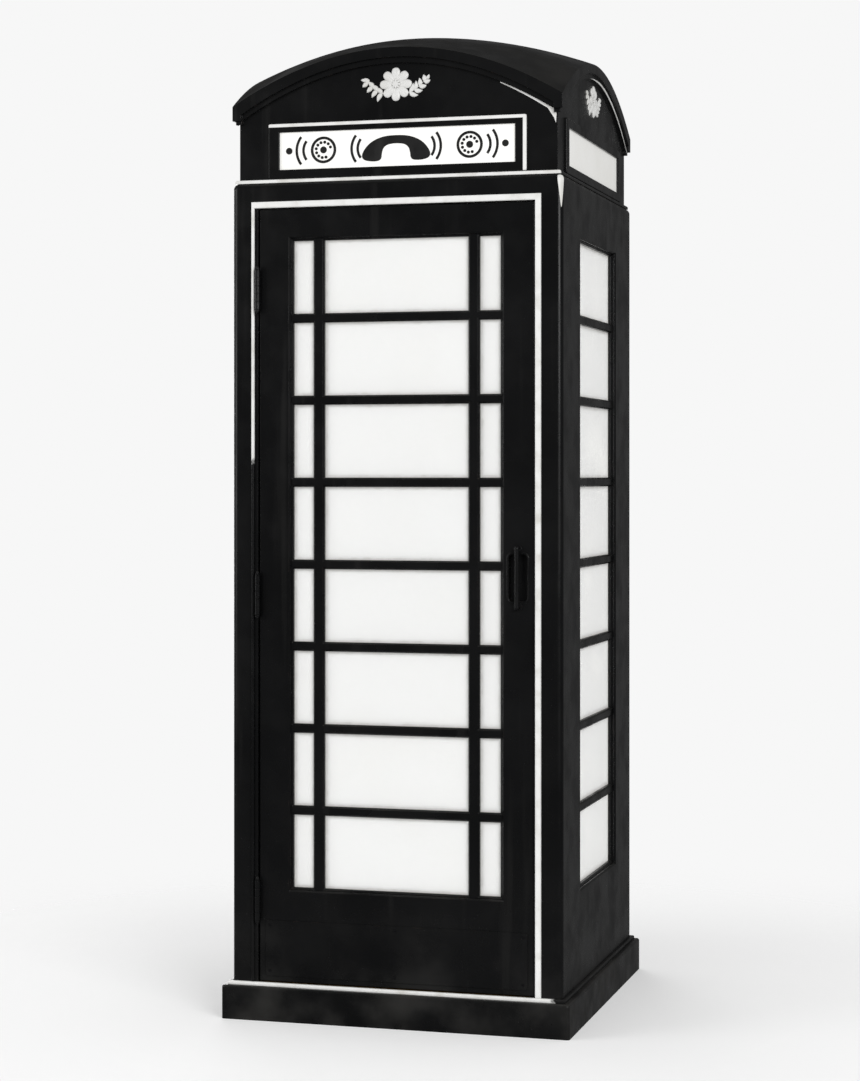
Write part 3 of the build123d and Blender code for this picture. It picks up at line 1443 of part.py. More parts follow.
PIECES = {
    "plinth": plinth,
    "floor_panel": floor_panel,
    "threshold_plate": threshold_plate,
    "front_frame": front_frame,
    "left_side_frame": lambda: side_frame("left"),
    "right_side_frame": lambda: side_frame("right"),
    "back_panel": back_panel,
    "foot_bead": foot_bead,
    "shoulder_bead": shoulder_bead,
    "door_surround_bead": door_surround_bead,
    "roof_casting": roof_casting,
    "sign_frames": sign_frames,
    "sign_glasses": sign_glasses,
    "roof_emblems": roof_emblems,
    "roof_bolts": roof_bolts,
    "ceiling_panel": ceiling_panel,
    "lamp_base": lamp_base,
    "lamp_bulb": lamp_bulb,
    "lamp_lens": lamp_lens,
    "left_glazing_bars": lambda: glazing_bars("left", SIDE_FIELD_W, SIDE_GLAZING_BACK),
    "right_glazing_bars": lambda: glazing_bars("right", SIDE_FIELD_W, SIDE_GLAZING_BACK),
    "left_panes": lambda: panes("left", SIDE_FIELD_W, SIDE_GLAZING_BACK),
    "right_panes": lambda: panes("right", SIDE_FIELD_W, SIDE_GLAZING_BACK),
    "door_leaf": door_leaf,
    "door_glazing_bars": lambda: glazing_bars("front", DOOR_FIELD_W, LEAF_SET_BACK + DOOR_GLAZING_BACK),
    "door_panes": lambda: panes("front", DOOR_FIELD_W, LEAF_SET_BACK + DOOR_GLAZING_BACK),
    "door_kick_plate": door_kick_plate,
    "door_pull": door_pull,
    "door_seal": door_seal,
    "hinge_frame_leaves": lambda: hinge_halves(False),
    "hinge_door_leaves": lambda: hinge_halves(True),
    "hinge_pins": hinge_pins,
    "corner_angles": corner_angles,
    "corner_bolts": corner_bolts,
    "backboard": backboard,
    "directory_shelf": directory_shelf,
    "shelf_brackets": shelf_brackets,
    "conduit": conduit,
    "conduit_saddles": conduit_saddles,
    "notice_frame": notice_frame,
    "notice_card": notice_card,
    "mirror": mirror,
    "phone_case": phone_case,
    "phone_cover": phone_cover,
    "instruction_plate": instruction_plate,
    "coin_slot_plate": coin_slot_plate,
    "coin_mechanism": coin_mechanism,
    "coin_return_cup": coin_return_cup,
    "return_flap": return_flap,
    "return_button": return_button,
    "dial_plate": dial_plate,
    "finger_wheel": finger_wheel,
    "finger_stop": finger_stop,
    "cash_box": cash_box,
    "cash_door": cash_door,
    "cash_lock": cash_lock,
    "cord_gland": cord_gland,
    "switch_hook": switch_hook,
    "handset_handle": handset_handle,
    "handset_caps": handset_caps,
}

os.makedirs("parts", exist_ok=True)
for name, make_piece in PIECES.items():
    piece = make_piece()
    piece.part.label = name
    export_step(piece.part, f"parts/{name}.step")
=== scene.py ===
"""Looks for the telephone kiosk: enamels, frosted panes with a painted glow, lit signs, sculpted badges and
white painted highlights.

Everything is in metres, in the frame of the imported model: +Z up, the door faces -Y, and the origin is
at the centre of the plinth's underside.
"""

import math

import bmesh
import bpy
from mathutils import Matrix, Vector


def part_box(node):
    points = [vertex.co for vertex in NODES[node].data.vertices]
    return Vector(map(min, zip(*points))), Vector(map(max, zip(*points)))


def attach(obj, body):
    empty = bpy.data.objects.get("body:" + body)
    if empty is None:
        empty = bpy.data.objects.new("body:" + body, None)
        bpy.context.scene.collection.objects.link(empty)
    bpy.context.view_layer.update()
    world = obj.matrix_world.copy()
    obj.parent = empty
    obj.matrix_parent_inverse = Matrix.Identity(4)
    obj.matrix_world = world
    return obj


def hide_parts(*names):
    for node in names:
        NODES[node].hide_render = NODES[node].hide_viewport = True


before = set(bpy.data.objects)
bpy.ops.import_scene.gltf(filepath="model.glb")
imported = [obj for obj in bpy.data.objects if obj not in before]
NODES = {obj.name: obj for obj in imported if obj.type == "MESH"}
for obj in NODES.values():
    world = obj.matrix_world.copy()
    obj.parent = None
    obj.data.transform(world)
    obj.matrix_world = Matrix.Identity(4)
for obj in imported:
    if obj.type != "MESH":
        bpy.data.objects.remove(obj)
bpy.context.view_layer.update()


# ------------------------------------------------------------------ camera, light and stage

CAMERA_AZIMUTH = math.radians(15.6)
CAMERA_REACH = 6.436
EYE_HEIGHT = 1.369
LENS_MM = 80.7
SENSOR_MM = 36.0
SHIFT_X = -0.0098
SHIFT_Y = -0.0591
BACKDROP = (0.93, 0.93, 0.93)
WORLD_LIGHT = 0.55
WORLD_IN_REFLECTIONS = 0.12
# Name, place, target, size and watts of each soft light
LIGHTS = (
    ("key", (3.6, -4.4, 3.2), (0, 0, 1.3), 3.0, 150),
    ("fill", (-4.4, -3.2, 2.4), (0, 0, 1.2), 3.0, 80),
    ("back", (-2.4, 4.6, 1.5), (0, 0, 1.2), 2.6, 90),
)
FLOOR_HALF = 3.0
FLOOR_GREY = (0.86, 0.86, 0.86)
FLOOR_GLOW = 0.24
FLOOR_FADE = (0.7, 2.4)


def add_camera():
    """The camera stands to the right of the door at eye height and looks level at the kiosk."""
    camera = bpy.data.cameras.new("camera")
    camera.lens = LENS_MM
    camera.sensor_width = SENSOR_MM
    camera.shift_x = SHIFT_X
    camera.shift_y = SHIFT_Y
    camera.clip_end = 200
    holder = bpy.data.objects.new("camera", camera)
    bpy.context.scene.collection.objects.link(holder)
    away = Vector((math.sin(CAMERA_AZIMUTH), -math.cos(CAMERA_AZIMUTH), 0))
    holder.location = away * CAMERA_REACH + Vector((0, 0, EYE_HEIGHT))
    holder.rotation_euler = (-away).to_track_quat("-Z", "Y").to_euler()
    bpy.context.scene.camera = holder


def add_area_light(name, place, target, size, watts):
    """A square soft light at a place, turned towards a target."""
    light = bpy.data.lights.new(name, "AREA")
    light.size = size
    light.energy = watts
    holder = bpy.data.objects.new(name, light)
    bpy.context.scene.collection.objects.link(holder)
    holder.location = place
    holder.rotation_euler = (Vector(target) - Vector(place)).to_track_quat("-Z", "Y").to_euler()


def add_world(strength, glossy_strength):
    """An even pale surround, dimmer to the light it gives and dimmest in reflections."""
    world = bpy.data.worlds.new("studio")
    world.use_nodes = True
    bpy.context.scene.world = world
    tree = world.node_tree
    background = tree.nodes["Background"]
    background.inputs["Color"].default_value = (*BACKDROP, 1)
    rays = tree.nodes.new("ShaderNodeLightPath")
    in_reflection = tree.nodes.new("ShaderNodeMapRange")
    in_reflection.inputs["To Min"].default_value = strength
    in_reflection.inputs["To Max"].default_value = glossy_strength
    tree.links.new(rays.outputs["Is Glossy Ray"], in_reflection.inputs["Value"])
    in_view = tree.nodes.new("ShaderNodeMapRange")
    in_view.inputs["To Max"].default_value = 1.0
    tree.links.new(rays.outputs["Is Camera Ray"], in_view.inputs["Value"])
    tree.links.new(in_reflection.outputs["Result"], in_view.inputs["To Min"])
    tree.links.new(in_view.outputs["Result"], background.inputs["Strength"])


def add_floor():
    """A plain pale floor that fades into the backdrop away from the kiosk and stays out of reflections."""
    mesh = bpy.data.meshes.new("floor")
    corners = [(side * FLOOR_HALF, end * FLOOR_HALF, 0) for side, end in ((-1, -1), (1, -1), (1, 1), (-1, 1))]
    mesh.from_pydata(corners, [], [(0, 1, 2, 3)])
    floor = bpy.data.objects.new("floor", mesh)
    bpy.context.scene.collection.objects.link(floor)
    net = Net("floor")
    net.set(base=FLOOR_GREY, roughness=0.9)
    net.shader.inputs["Specular IOR Level"].default_value = 0.0
    net.set(Emission_Color=BACKDROP, Emission_Strength=FLOOR_GLOW)
    clear = net.add("ShaderNodeBsdfTransparent")
    blend = net.add("ShaderNodeMixShader")
    far = net.add("ShaderNodeVectorMath", operation="LENGTH")
    net.link(net.place, far.inputs[0])
    net.link(net.ramp(far.outputs["Value"], *FLOOR_FADE), blend.inputs["Fac"])
    net.link(net.shader.outputs["BSDF"], blend.inputs[1])
    net.link(clear.outputs["BSDF"], blend.inputs[2])
    net.link(blend.outputs["Shader"], net.tree.nodes["Material Output"].inputs["Surface"])
    mesh.materials.append(net.material)
    floor.visible_glossy = False


# ------------------------------------------------------------------ shader helper


class Net:
    """One material being built, with short names for the nodes that its patterns use."""

    def __init__(self, name):
        self.material = bpy.data.materials.new(name)
        self.material.use_nodes = True
        self.tree = self.material.node_tree
        self.shader = self.tree.nodes["Principled BSDF"]
        self.place = self.add("ShaderNodeTexCoord").outputs["Object"]

    def add(self, kind, **settings):
        node = self.tree.nodes.new(kind)
        for key, value in settings.items():
            setattr(node, key, value)
        return node

    def link(self, source, target):
        self.tree.links.new(source, target)

    def feed(self, value, target):
        """Wires a pattern into a socket, or sets the socket's own value."""
        if isinstance(value, bpy.types.NodeSocket):
            self.link(value, target)
        elif isinstance(value, tuple):
            target.default_value = (*value, 1)
        else:
            target.default_value = value

    def set(self, base=None, roughness=None, metallic=None, **others):
        """Feeds the shader's sockets, with others named by their words joined by underscores."""
        named = {"Base Color": base, "Roughness": roughness, "Metallic": metallic}
        named.update({key.replace("_", " "): value for key, value in others.items()})
        for socket, value in named.items():
            if value is not None:
                self.feed(value, self.shader.inputs[socket])

    def math(self, operation, a, b=0.0):
        node = self.add("ShaderNodeMath", operation=operation)
        self.feed(a, node.inputs[0])
        self.feed(b, node.inputs[1])
        return node.outputs[0]

    def ramp(self, value, low, high, to_low=0.0, to_high=1.0):
        """A smooth step from to_low at low to to_high at high."""
        node = self.add("ShaderNodeMapRange", interpolation_type="SMOOTHSTEP")
        for key, number in (("From Min", low), ("From Max", high), ("To Min", to_low), ("To Max", to_high)):
            node.inputs[key].default_value = number
        self.link(value, node.inputs["Value"])
        return node.outputs["Result"]

    def mix(self, share, a, b):
        """Colour a where share is 0 and colour b where it is 1."""
        node = self.add("ShaderNodeMix", data_type="RGBA")
        self.feed(share, node.inputs["Factor"])
        self.feed(a, node.inputs[6])
        self.feed(b, node.inputs[7])
        return node.outputs[2]

    def stretched(self, stretch):
        """Object coordinates scaled along each axis."""
        node = self.add("ShaderNodeMapping")
        node.inputs["Scale"].default_value = stretch
        self.link(self.place, node.inputs["Vector"])
        return node.outputs["Vector"]

    def noise(self, scale, detail=3.0, stretch=(1, 1, 1), rough=0.5):
        node = self.add("ShaderNodeTexNoise")
        node.inputs["Scale"].default_value = scale
        node.inputs["Detail"].default_value = detail
        node.inputs["Roughness"].default_value = rough
        self.link(self.stretched(stretch), node.inputs["Vector"])
        return node.outputs["Fac"]

    def cells(self, scale, feature="F1", stretch=(1, 1, 1)):
        node = self.add("ShaderNodeTexVoronoi", feature=feature)
        node.inputs["Scale"].default_value = scale
        self.link(self.stretched(stretch), node.inputs["Vector"])
        return node.outputs["Distance"]

    def axes(self):
        """The object coordinates as three separate numbers."""
        node = self.add("ShaderNodeSeparateXYZ")
        self.link(self.place, node.inputs[0])
        return node.outputs["X"], node.outputs["Y"], node.outputs["Z"]

    def upward(self):
        """How far the surface faces up, from 0 on a wall to 1 on a level top."""
        node = self.add("ShaderNodeSeparateXYZ")
        self.link(self.add("ShaderNodeNewGeometry").outputs["Normal"], node.inputs[0])
        return self.ramp(node.outputs["Z"], 0.25, 0.95)

    def rounded_edges(self, radius, low=0.02, high=0.2):
        """The normal with its arrises softened, and a mask that is 1 along them and 0 on flat faces."""
        bevel = self.add("ShaderNodeBevel", samples=3)
        bevel.inputs["Radius"].default_value = radius
        dot = self.add("ShaderNodeVectorMath", operation="DOT_PRODUCT")
        self.link(bevel.outputs["Normal"], dot.inputs[0])
        self.link(self.add("ShaderNodeNewGeometry").outputs["Normal"], dot.inputs[1])
        mask = self.ramp(self.math("SUBTRACT", 1.0, dot.outputs["Value"]), low, high)
        return bevel.outputs["Normal"], mask

    def crevices(self, reach):
        """A mask that is 1 deep in hollows narrower than reach, for painting shade into them."""
        hollow = self.add("ShaderNodeAmbientOcclusion", samples=8)
        hollow.inputs["Distance"].default_value = reach
        return self.ramp(hollow.outputs["AO"], 0.82, 0.30)

    def bump(self, height, distance, strength=1.0, under=None):
        node = self.add("ShaderNodeBump")
        node.inputs["Strength"].default_value = strength
        node.inputs["Distance"].default_value = distance
        self.link(height, node.inputs["Height"])
        if under is not None:
            self.link(under, node.inputs["Normal"])
        self.feed(node.outputs["Normal"], self.shader.inputs["Normal"])
        return node.outputs["Normal"]


# ------------------------------------------------------------------ materials

BLACK = (0.0030, 0.0031, 0.0034)
BLACK_WORN = (0.0062, 0.0063, 0.0066)
DUST = (0.115, 0.110, 0.100)
WHITE = (0.90, 0.90, 0.885)
WHITE_AGED = (0.70, 0.69, 0.65)
BADGE_WHITE = (0.80, 0.80, 0.785)
CREAM = (0.80, 0.785, 0.73)
CREAM_AGED = (0.62, 0.59, 0.51)
PRIMER = (0.060, 0.040, 0.032)
SCUFF = (0.20, 0.18, 0.15)
# Grey-brown of the painted shade in the badges' hollows
CREVICE_SHADE = (0.20, 0.19, 0.165)
PANE = (0.95, 0.955, 0.95)
PANE_FILM = (0.86, 0.86, 0.83)
PANE_DIRT = (0.36, 0.35, 0.32)
# Colour of the painted glow that lightens the panes
PAINTED_PANE_GLOW = (1.0, 0.995, 0.98)
OPAL = (0.95, 0.95, 0.93)
OPAL_THICK = (0.88, 0.875, 0.84)
LAMPLIGHT_OPAL = (1.0, 0.985, 0.95)
RUST = (0.16, 0.065, 0.025)
WOOD_DARK = (0.115, 0.048, 0.018)
WOOD_LIGHT = (0.27, 0.135, 0.055)
WOOD_PORE = (0.04, 0.018, 0.008)
BAKELITE = (0.008, 0.0072, 0.0068)
BAKELITE_SWIRL = (0.020, 0.014, 0.011)
RUBBER = (0.012, 0.012, 0.012)
RUBBER_CHALK = (0.05, 0.048, 0.045)
CEMENT = (0.23, 0.22, 0.205)
CEMENT_WORN = (0.37, 0.36, 0.335)
CEMENT_SPECK = (0.10, 0.095, 0.09)
PAPER = (0.80, 0.77, 0.67)
PAPER_FOXED = (0.62, 0.54, 0.40)
PRINT = (0.05, 0.05, 0.05)
SILVER = (0.88, 0.90, 0.90)
SILVER_SPOT = (0.30, 0.30, 0.28)
BRASS = (0.62, 0.44, 0.19)
GALVANISED = (0.52, 0.53, 0.54)
ZINC = (0.55, 0.56, 0.56)
CHROME = (0.78, 0.79, 0.80)
TINPLATE = (0.55, 0.55, 0.54)
BLACKENED_STEEL = (0.045, 0.045, 0.048)
PHONE_BLACK = (0.012, 0.013, 0.015)
PHONE_WORN = (0.022, 0.022, 0.023)
IVORY = (0.86, 0.85, 0.78)
IVORY_AGED = (0.74, 0.71, 0.60)
SIGN_INK = (0.006, 0.006, 0.006)
SIGN_INK_WORN = (0.012, 0.012, 0.012)


def weathering(net, base, dust_share=0.55):
    """Adds the grime of the street: dust on ledges, splashes near the ground and rain streaks."""
    _, _, z = net.axes()
    blotch = net.noise(7.0, detail=6.0)
    ledge = net.math("MULTIPLY", net.upward(), net.ramp(blotch, 0.35, 0.7, 0.15, 1.0))
    splash = net.math("MULTIPLY", net.ramp(z, 0.42, 0.0), net.ramp(blotch, 0.4, 0.75))
    streak = net.ramp(net.noise(26.0, detail=4.0, stretch=(1, 1, 0.045)), 0.56, 0.74)
    grime = net.math("MAXIMUM", ledge, net.math("MULTIPLY", splash, 0.6))
    grime = net.math("MAXIMUM", grime, net.math("MULTIPLY", streak, 0.22))
    return net.mix(net.math("MULTIPLY", grime, dust_share), base, DUST), grime


def enamel(name, inside=None, pockets=False, painted_highlight=None, grain=0.0, grit=0.16):
    """Black enamel over a casting, cream where it faces the cabin, and white where highlights are painted on.

    inside is the distance from the middle within which the paint is cream, and pockets adds the hollows
    of a side wall to it. A given highlight mask, made from the net, places the painted white highlights.
    grain is the depth of timber grain that shows through. grit is how much of the street's grime the paint
    carries.
    """
    net = Net(name)
    tone = net.ramp(net.noise(3.1, detail=5.0), 0.3, 0.75)
    base = net.mix(tone, BLACK, BLACK_WORN)
    soft_edge, arris = net.rounded_edges(0.0025)
    worn = net.math("MULTIPLY", arris, net.ramp(net.noise(42.0, detail=5.0), 0.55, 0.68))
    base = net.mix(net.math("MULTIPLY", worn, 0.5), base, PRIMER)
    base, grime = weathering(net, base, dust_share=grit)
    rough = net.ramp(net.noise(13.0, detail=6.0), 0.3, 0.75, 0.20, 0.36)
    rough = net.math("ADD", rough, net.math("MULTIPLY", grime, 0.35))
    # Painted highlights: white laid on where the mouldings catch the light
    if painted_highlight is not None:
        white = net.mix(net.ramp(net.noise(21.0, detail=5.0), 0.42, 0.8), WHITE, WHITE_AGED)
        base = net.mix(painted_highlight(net), base, white)
    if inside is not None:
        indoors = cabin_side(net, inside)
        if pockets:
            indoors = net.math("MAXIMUM", indoors, wall_pockets(net))
        base = net.mix(indoors, base, cream(net))
    net.set(base=base, roughness=rough, Specular_IOR_Level=0.28)
    waves = net.bump(net.noise(16.0, detail=2.0), 0.0011, 0.30, under=soft_edge)
    peel = net.bump(net.noise(420.0, detail=2.0), 0.00010, 0.6, under=waves)
    if grain:
        rings = net.noise(60.0, detail=5.0, stretch=(1, 1, 0.04))
        peel = net.bump(rings, grain, 0.8, under=peel)
    return net.material


def cabin_side(net, reach):
    """1 where a point is nearer than reach to the kiosk's middle, along both X and Y."""
    x, y, _ = net.axes()
    outermost = net.math("MAXIMUM", net.math("ABSOLUTE", x), net.math("ABSOLUTE", y))
    return net.ramp(outermost, reach + PAINT_BLUR, reach - PAINT_BLUR)


def wall_pockets(net):
    """1 in the hollows that a side wall's casting turns to the cabin, all round its window."""
    x, y, z = net.axes()
    behind_skin = net.ramp(net.math("ABSOLUTE", x), SKIN_BACK + EDGE_BLUR, SKIN_BACK - EDGE_BLUR)
    beside = net.ramp(net.math("ABSOLUTE", y), WINDOW_SIDE - EDGE_BLUR, WINDOW_SIDE + EDGE_BLUR)
    below = net.ramp(z, WINDOW_SILL + EDGE_BLUR, WINDOW_SILL - EDGE_BLUR)
    above = net.ramp(z, WINDOW_HEAD - EDGE_BLUR, WINDOW_HEAD + EDGE_BLUR)
    around = net.math("MAXIMUM", beside, net.math("MAXIMUM", below, above))
    return net.math("MULTIPLY", behind_skin, around)


def cream(net):
    """Cream cabin paint, yellowed in patches and scuffed below hand height."""
    _, _, z = net.axes()
    patch = net.ramp(net.noise(4.3, detail=6.0), 0.4, 0.78)
    scuffs = net.ramp(net.noise(30.0, detail=6.0, stretch=(1, 1, 2.2)), 0.62, 0.7)
    low = net.math("MULTIPLY", scuffs, net.ramp(z, 1.1, 0.1))
    base = net.mix(net.math("MULTIPLY", patch, 0.7), CREAM, CREAM_AGED)
    return net.mix(net.math("MULTIPLY", low, 0.5), base, SCUFF)


def painted(name, colour, aged, roughness=0.35, bump=0.00012, crevice=0.0):
    """A plain brushed enamel in one colour that has aged unevenly, with painted shade darkening hollows of
    the given size.
    """
    net = Net(name)
    age = net.ramp(net.noise(9.0, detail=6.0), 0.4, 0.8)
    base, grime = weathering(net, net.mix(age, colour, aged), dust_share=0.25)
    rough = net.math("ADD", net.ramp(net.noise(33.0), 0.3, 0.7, roughness - 0.07, roughness + 0.1), grime)
    if crevice:
        # Painted shade: the hollows found by ambient occlusion are darkened
        base = net.mix(net.crevices(crevice), base, CREVICE_SHADE)
    net.set(base=base, roughness=rough)
    brush = net.bump(net.noise(160.0, detail=2.0, stretch=(1, 1, 0.3)), bump, 0.7)
    net.bump(net.noise(700.0, detail=1.0), bump * 0.4, 0.5, under=brush)
    return net.material


def frosted_glass(name, columns, glow):
    """Obscured pane glass: a rippled frosted face, with dirt gathered along each pane's putty line.

    columns lists the middle and half width of each pane column, along the field. glow is the strength of a
    painted glow that lightens the panes, set higher on the side panes, which the lights reach less.
    """
    net = Net(name)
    x, y, z = net.axes()
    along = x if columns is DOOR_COLUMNS else y
    from_edge = None
    for middle, half_width in columns:
        inset = net.math("SUBTRACT", half_width, net.math("ABSOLUTE", net.math("SUBTRACT", along, middle)))
        from_edge = inset if from_edge is None else net.math("MAXIMUM", from_edge, inset)
    row = net.math("FLOORED_MODULO", net.math("SUBTRACT", z, FIELD_Z), ROW_PITCH)
    from_sill = net.math("SUBTRACT", PANE_H / 2, net.math("ABSOLUTE", net.math("SUBTRACT", row, PANE_H / 2)))
    near = net.math("MINIMUM", from_edge, from_sill)
    near = net.math("ADD", near, net.math("MULTIPLY", net.noise(38.0, detail=5.0), 0.010))
    dirt = net.ramp(near, 0.016, 0.004)
    film = net.ramp(net.noise(6.0, detail=6.0), 0.45, 0.8)
    base = net.mix(net.math("MULTIPLY", film, 0.35), PANE, PANE_FILM)
    base = net.mix(net.math("MULTIPLY", dirt, 0.55), base, PANE_DIRT)
    net.set(base=base, roughness=net.ramp(film, 0.0, 1.0, 0.34, 0.55), Transmission_Weight=0.30, IOR=1.5)
    # Painted glow: emission that makes the panes brighter than the lights alone would
    net.set(Emission_Color=PAINTED_PANE_GLOW, Emission_Strength=glow)
    ripple = net.bump(net.cells(95.0, feature="SMOOTH_F1"), 0.0009, 0.35)
    net.bump(net.noise(900.0, detail=2.0), 0.00012, 0.5, under=ripple)
    return net.material


def lit_opal(name, glow):
    """Opal glass lit from behind, glowing evenly, with thicker cloudy patches."""
    net = Net(name)
    blotch = net.ramp(net.noise(5.0, detail=4.0), 0.35, 0.75)
    net.set(base=net.mix(blotch, OPAL, OPAL_THICK), roughness=0.22)
    net.set(Emission_Color=LAMPLIGHT_OPAL, Emission_Strength=glow, Coat_Weight=0.4)
    net.bump(net.noise(60.0, detail=2.0), 0.0002, 0.4)
    return net.material


def metal(name, colour, roughness, scratches=(1, 1, 1), rust=0.0):
    """Bare or plated metal with fine scratches, dulled patches and, if asked for, rust."""
    net = Net(name)
    patch = net.noise(28.0, detail=6.0)
    lines = net.noise(500.0, detail=2.0, stretch=scratches)
    dull = tuple(channel * 0.62 for channel in colour)
    base = net.mix(net.ramp(patch, 0.45, 0.8), colour, dull)
    shine = 1.0
    if rust:
        bloom = net.ramp(net.noise(70.0, detail=7.0), 0.62 - rust * 0.1, 0.74)
        base = net.mix(net.math("MULTIPLY", bloom, rust), base, RUST)
        shine = net.ramp(bloom, 0.0, 1.0, 1.0, 0.2)
    rough = net.ramp(patch, 0.3, 0.8, roughness, roughness + 0.16)
    rough = net.math("ADD", rough, net.math("MULTIPLY", lines, 0.08))
    net.set(base=base, roughness=rough, metallic=shine)
    net.bump(lines, 0.00008, 0.5)
    return net.material


def timber(name):
    """Varnished board with grain along X."""
    net = Net(name)
    grain = net.noise(38.0, detail=8.0, stretch=(0.07, 1, 1))
    pores = net.noise(260.0, detail=3.0, stretch=(0.03, 1, 1))
    base = net.mix(net.ramp(grain, 0.3, 0.7), WOOD_DARK, WOOD_LIGHT)
    base = net.mix(net.ramp(pores, 0.6, 0.75, 0.0, 0.6), base, WOOD_PORE)
    net.set(base=base, roughness=net.ramp(grain, 0.3, 0.7, 0.28, 0.42), Coat_Weight=0.5, Coat_Roughness=0.2)
    net.bump(pores, 0.00025, 0.5)
    return net.material


def bakelite(name):
    """Polished black moulding with faint swirls and finger marks."""
    net = Net(name)
    swirl = net.noise(24.0, detail=8.0, rough=0.65)
    base = net.mix(net.ramp(swirl, 0.45, 0.7), BAKELITE, BAKELITE_SWIRL)
    net.set(base=base, roughness=net.ramp(net.noise(60.0, detail=5.0), 0.35, 0.75, 0.12, 0.30))
    net.bump(net.noise(300.0), 0.00004, 0.4)
    return net.material


def rubber(name):
    """Matt black rubber or mastic with a slightly chalky skin."""
    net = Net(name)
    chalk = net.ramp(net.noise(55.0, detail=6.0), 0.45, 0.8)
    net.set(base=net.mix(chalk, RUBBER, RUBBER_CHALK), roughness=0.78)
    net.bump(net.noise(350.0, detail=3.0), 0.0002, 0.5)
    return net.material


def concrete(name):
    """Smooth cement floor, paler in random patches and speckled with fine aggregate."""
    net = Net(name)
    tone = net.ramp(net.noise(5.0, detail=8.0), 0.3, 0.75)
    base = net.mix(tone, CEMENT, CEMENT_WORN)
    specks = net.ramp(net.cells(260.0), 0.18, 0.1)
    base = net.mix(net.math("MULTIPLY", specks, 0.35), base, CEMENT_SPECK)
    net.set(base=base, roughness=0.82)
    net.bump(net.noise(120.0, detail=6.0), 0.0006, 0.5)
    return net.material


def card(name):
    """Printed card behind glass: plain ruled bars where the words would be."""
    net = Net(name)
    x, _, z = net.axes()
    row = net.math("FLOORED_MODULO", net.math("SUBTRACT", z, CARD_FIRST_LINE), CARD_LINES)
    inked = net.math("GREATER_THAN", row, CARD_LINES * 0.62)
    bars = net.math("MULTIPLY", inked, net.math("LESS_THAN", z, CARD_LAST_LINE))
    ragged = net.math("FRACT", net.math("MULTIPLY", net.math("SUBTRACT", z, row), CARD_SHUFFLE))
    line_end = net.ramp(ragged, 0.0, 1.0, *CARD_LINE_ENDS)
    bars = net.math("MULTIPLY", bars, net.math("GREATER_THAN", x, CARD_MARGIN))
    bars = net.math("MULTIPLY", bars, net.math("LESS_THAN", x, line_end))
    foxing = net.ramp(net.noise(18.0, detail=6.0), 0.5, 0.85)
    paper = net.mix(foxing, PAPER, PAPER_FOXED)
    net.set(base=net.mix(net.math("MULTIPLY", bars, 0.85), paper, PRINT), roughness=0.75)
    net.bump(net.noise(600.0), 0.00005, 0.5)
    return net.material


def mirror_glass(name):
    """Silvered glass with a few dull spots."""
    net = Net(name)
    spots = net.ramp(net.noise(45.0, detail=7.0), 0.62, 0.75)
    net.set(base=net.mix(spots, SILVER, SILVER_SPOT), metallic=1.0)
    net.set(roughness=net.ramp(spots, 0.0, 1.0, 0.03, 0.35))
    return net.material


# ------------------------------------------------------------------ where the paint and glass go

FIELD_LOW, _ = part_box("door_panes")
SIDE_FIELD_LOW, SIDE_FIELD_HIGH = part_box("right_panes")
_, WALL_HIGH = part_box("front_frame")
SIGN_LOW, SIGN_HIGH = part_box("sign_glasses")
CARD_LOW, CARD_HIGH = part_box("notice_card")
GLASS_LAP = 0.0035
ROW_PITCH = 0.2065
PANE_H = 0.183
FIELD_Z = FIELD_LOW.z + GLASS_LAP
DOOR_COLUMNS = ((-0.2425, 0.0265), (0.0, 0.187), (0.2425, 0.0265))
SIDE_COLUMNS = ((0.0, 0.215),)
EDGE_BLUR = 0.0006
PAINT_BLUR = 0.0002
WALL_HALF = WALL_HIGH.x
SKIN_BACK = WALL_HALF - 0.0095
WINDOW_SIDE = SIDE_FIELD_HIGH.y + 0.0155
WINDOW_SILL = SIDE_FIELD_LOW.z - 0.015
WINDOW_HEAD = SIDE_FIELD_HIGH.z + 0.0155
SURROUND_INNER_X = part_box("door_surround_bead")[0].x + 0.010
# Heights and reaches where the beads' painted highlights run out
HINGE_HIGHLIGHT_END = 1.41
FOOT_HIGHLIGHT_END = 0.405
BEAD_BACK = 0.0012
FASCIA_Y = SIGN_LOW.y
SIGN_Z = (SIGN_LOW.z + SIGN_HIGH.z) / 2
# Where the painted highlights lie on the sign frame
SIGN_TOP_HIGHLIGHT = SIGN_HIGH.z + 0.010
SIGN_RIGHT_HIGHLIGHT = 0.3265
CARD_LINES = 0.016
CARD_FIRST_LINE = CARD_LOW.z + 0.022
CARD_LAST_LINE = CARD_HIGH.z - 0.052
CARD_MARGIN = CARD_LOW.x + 0.012
CARD_LINE_ENDS = (CARD_HIGH.x - 0.044, CARD_HIGH.x - 0.012)
CARD_SHUFFLE = 391.7


def front_half(net, face_y):
    """1 in front of a plane that faces the street side of the kiosk."""
    _, y, _ = net.axes()
    return net.ramp(y, face_y + EDGE_BLUR, face_y - EDGE_BLUR)


def ragged_highlight_end(net, value, end, length=0.05):
    """1 past an end where a painted highlight runs out raggedly."""
    ragged = net.math("MULTIPLY", net.math("SUBTRACT", net.noise(90.0, detail=4.0), 0.5), length)
    return net.ramp(net.math("ADD", value, ragged), end - length * 0.2, end + length * 0.2)


def surround_highlight(net):
    """Painted highlight: white all along the pull side and the head, and only high up on the hinge side."""
    x, _, z = net.axes()
    past_hinges = net.ramp(x, SURROUND_INNER_X - PAINT_BLUR, SURROUND_INNER_X + PAINT_BLUR)
    return net.math("MAXIMUM", past_hinges, ragged_highlight_end(net, z, HINGE_HIGHLIGHT_END))


def shoulder_highlight(net):
    """Painted highlight: white on the street side of the bead under the roof."""
    return front_half(net, FASCIA_Y - BEAD_BACK)


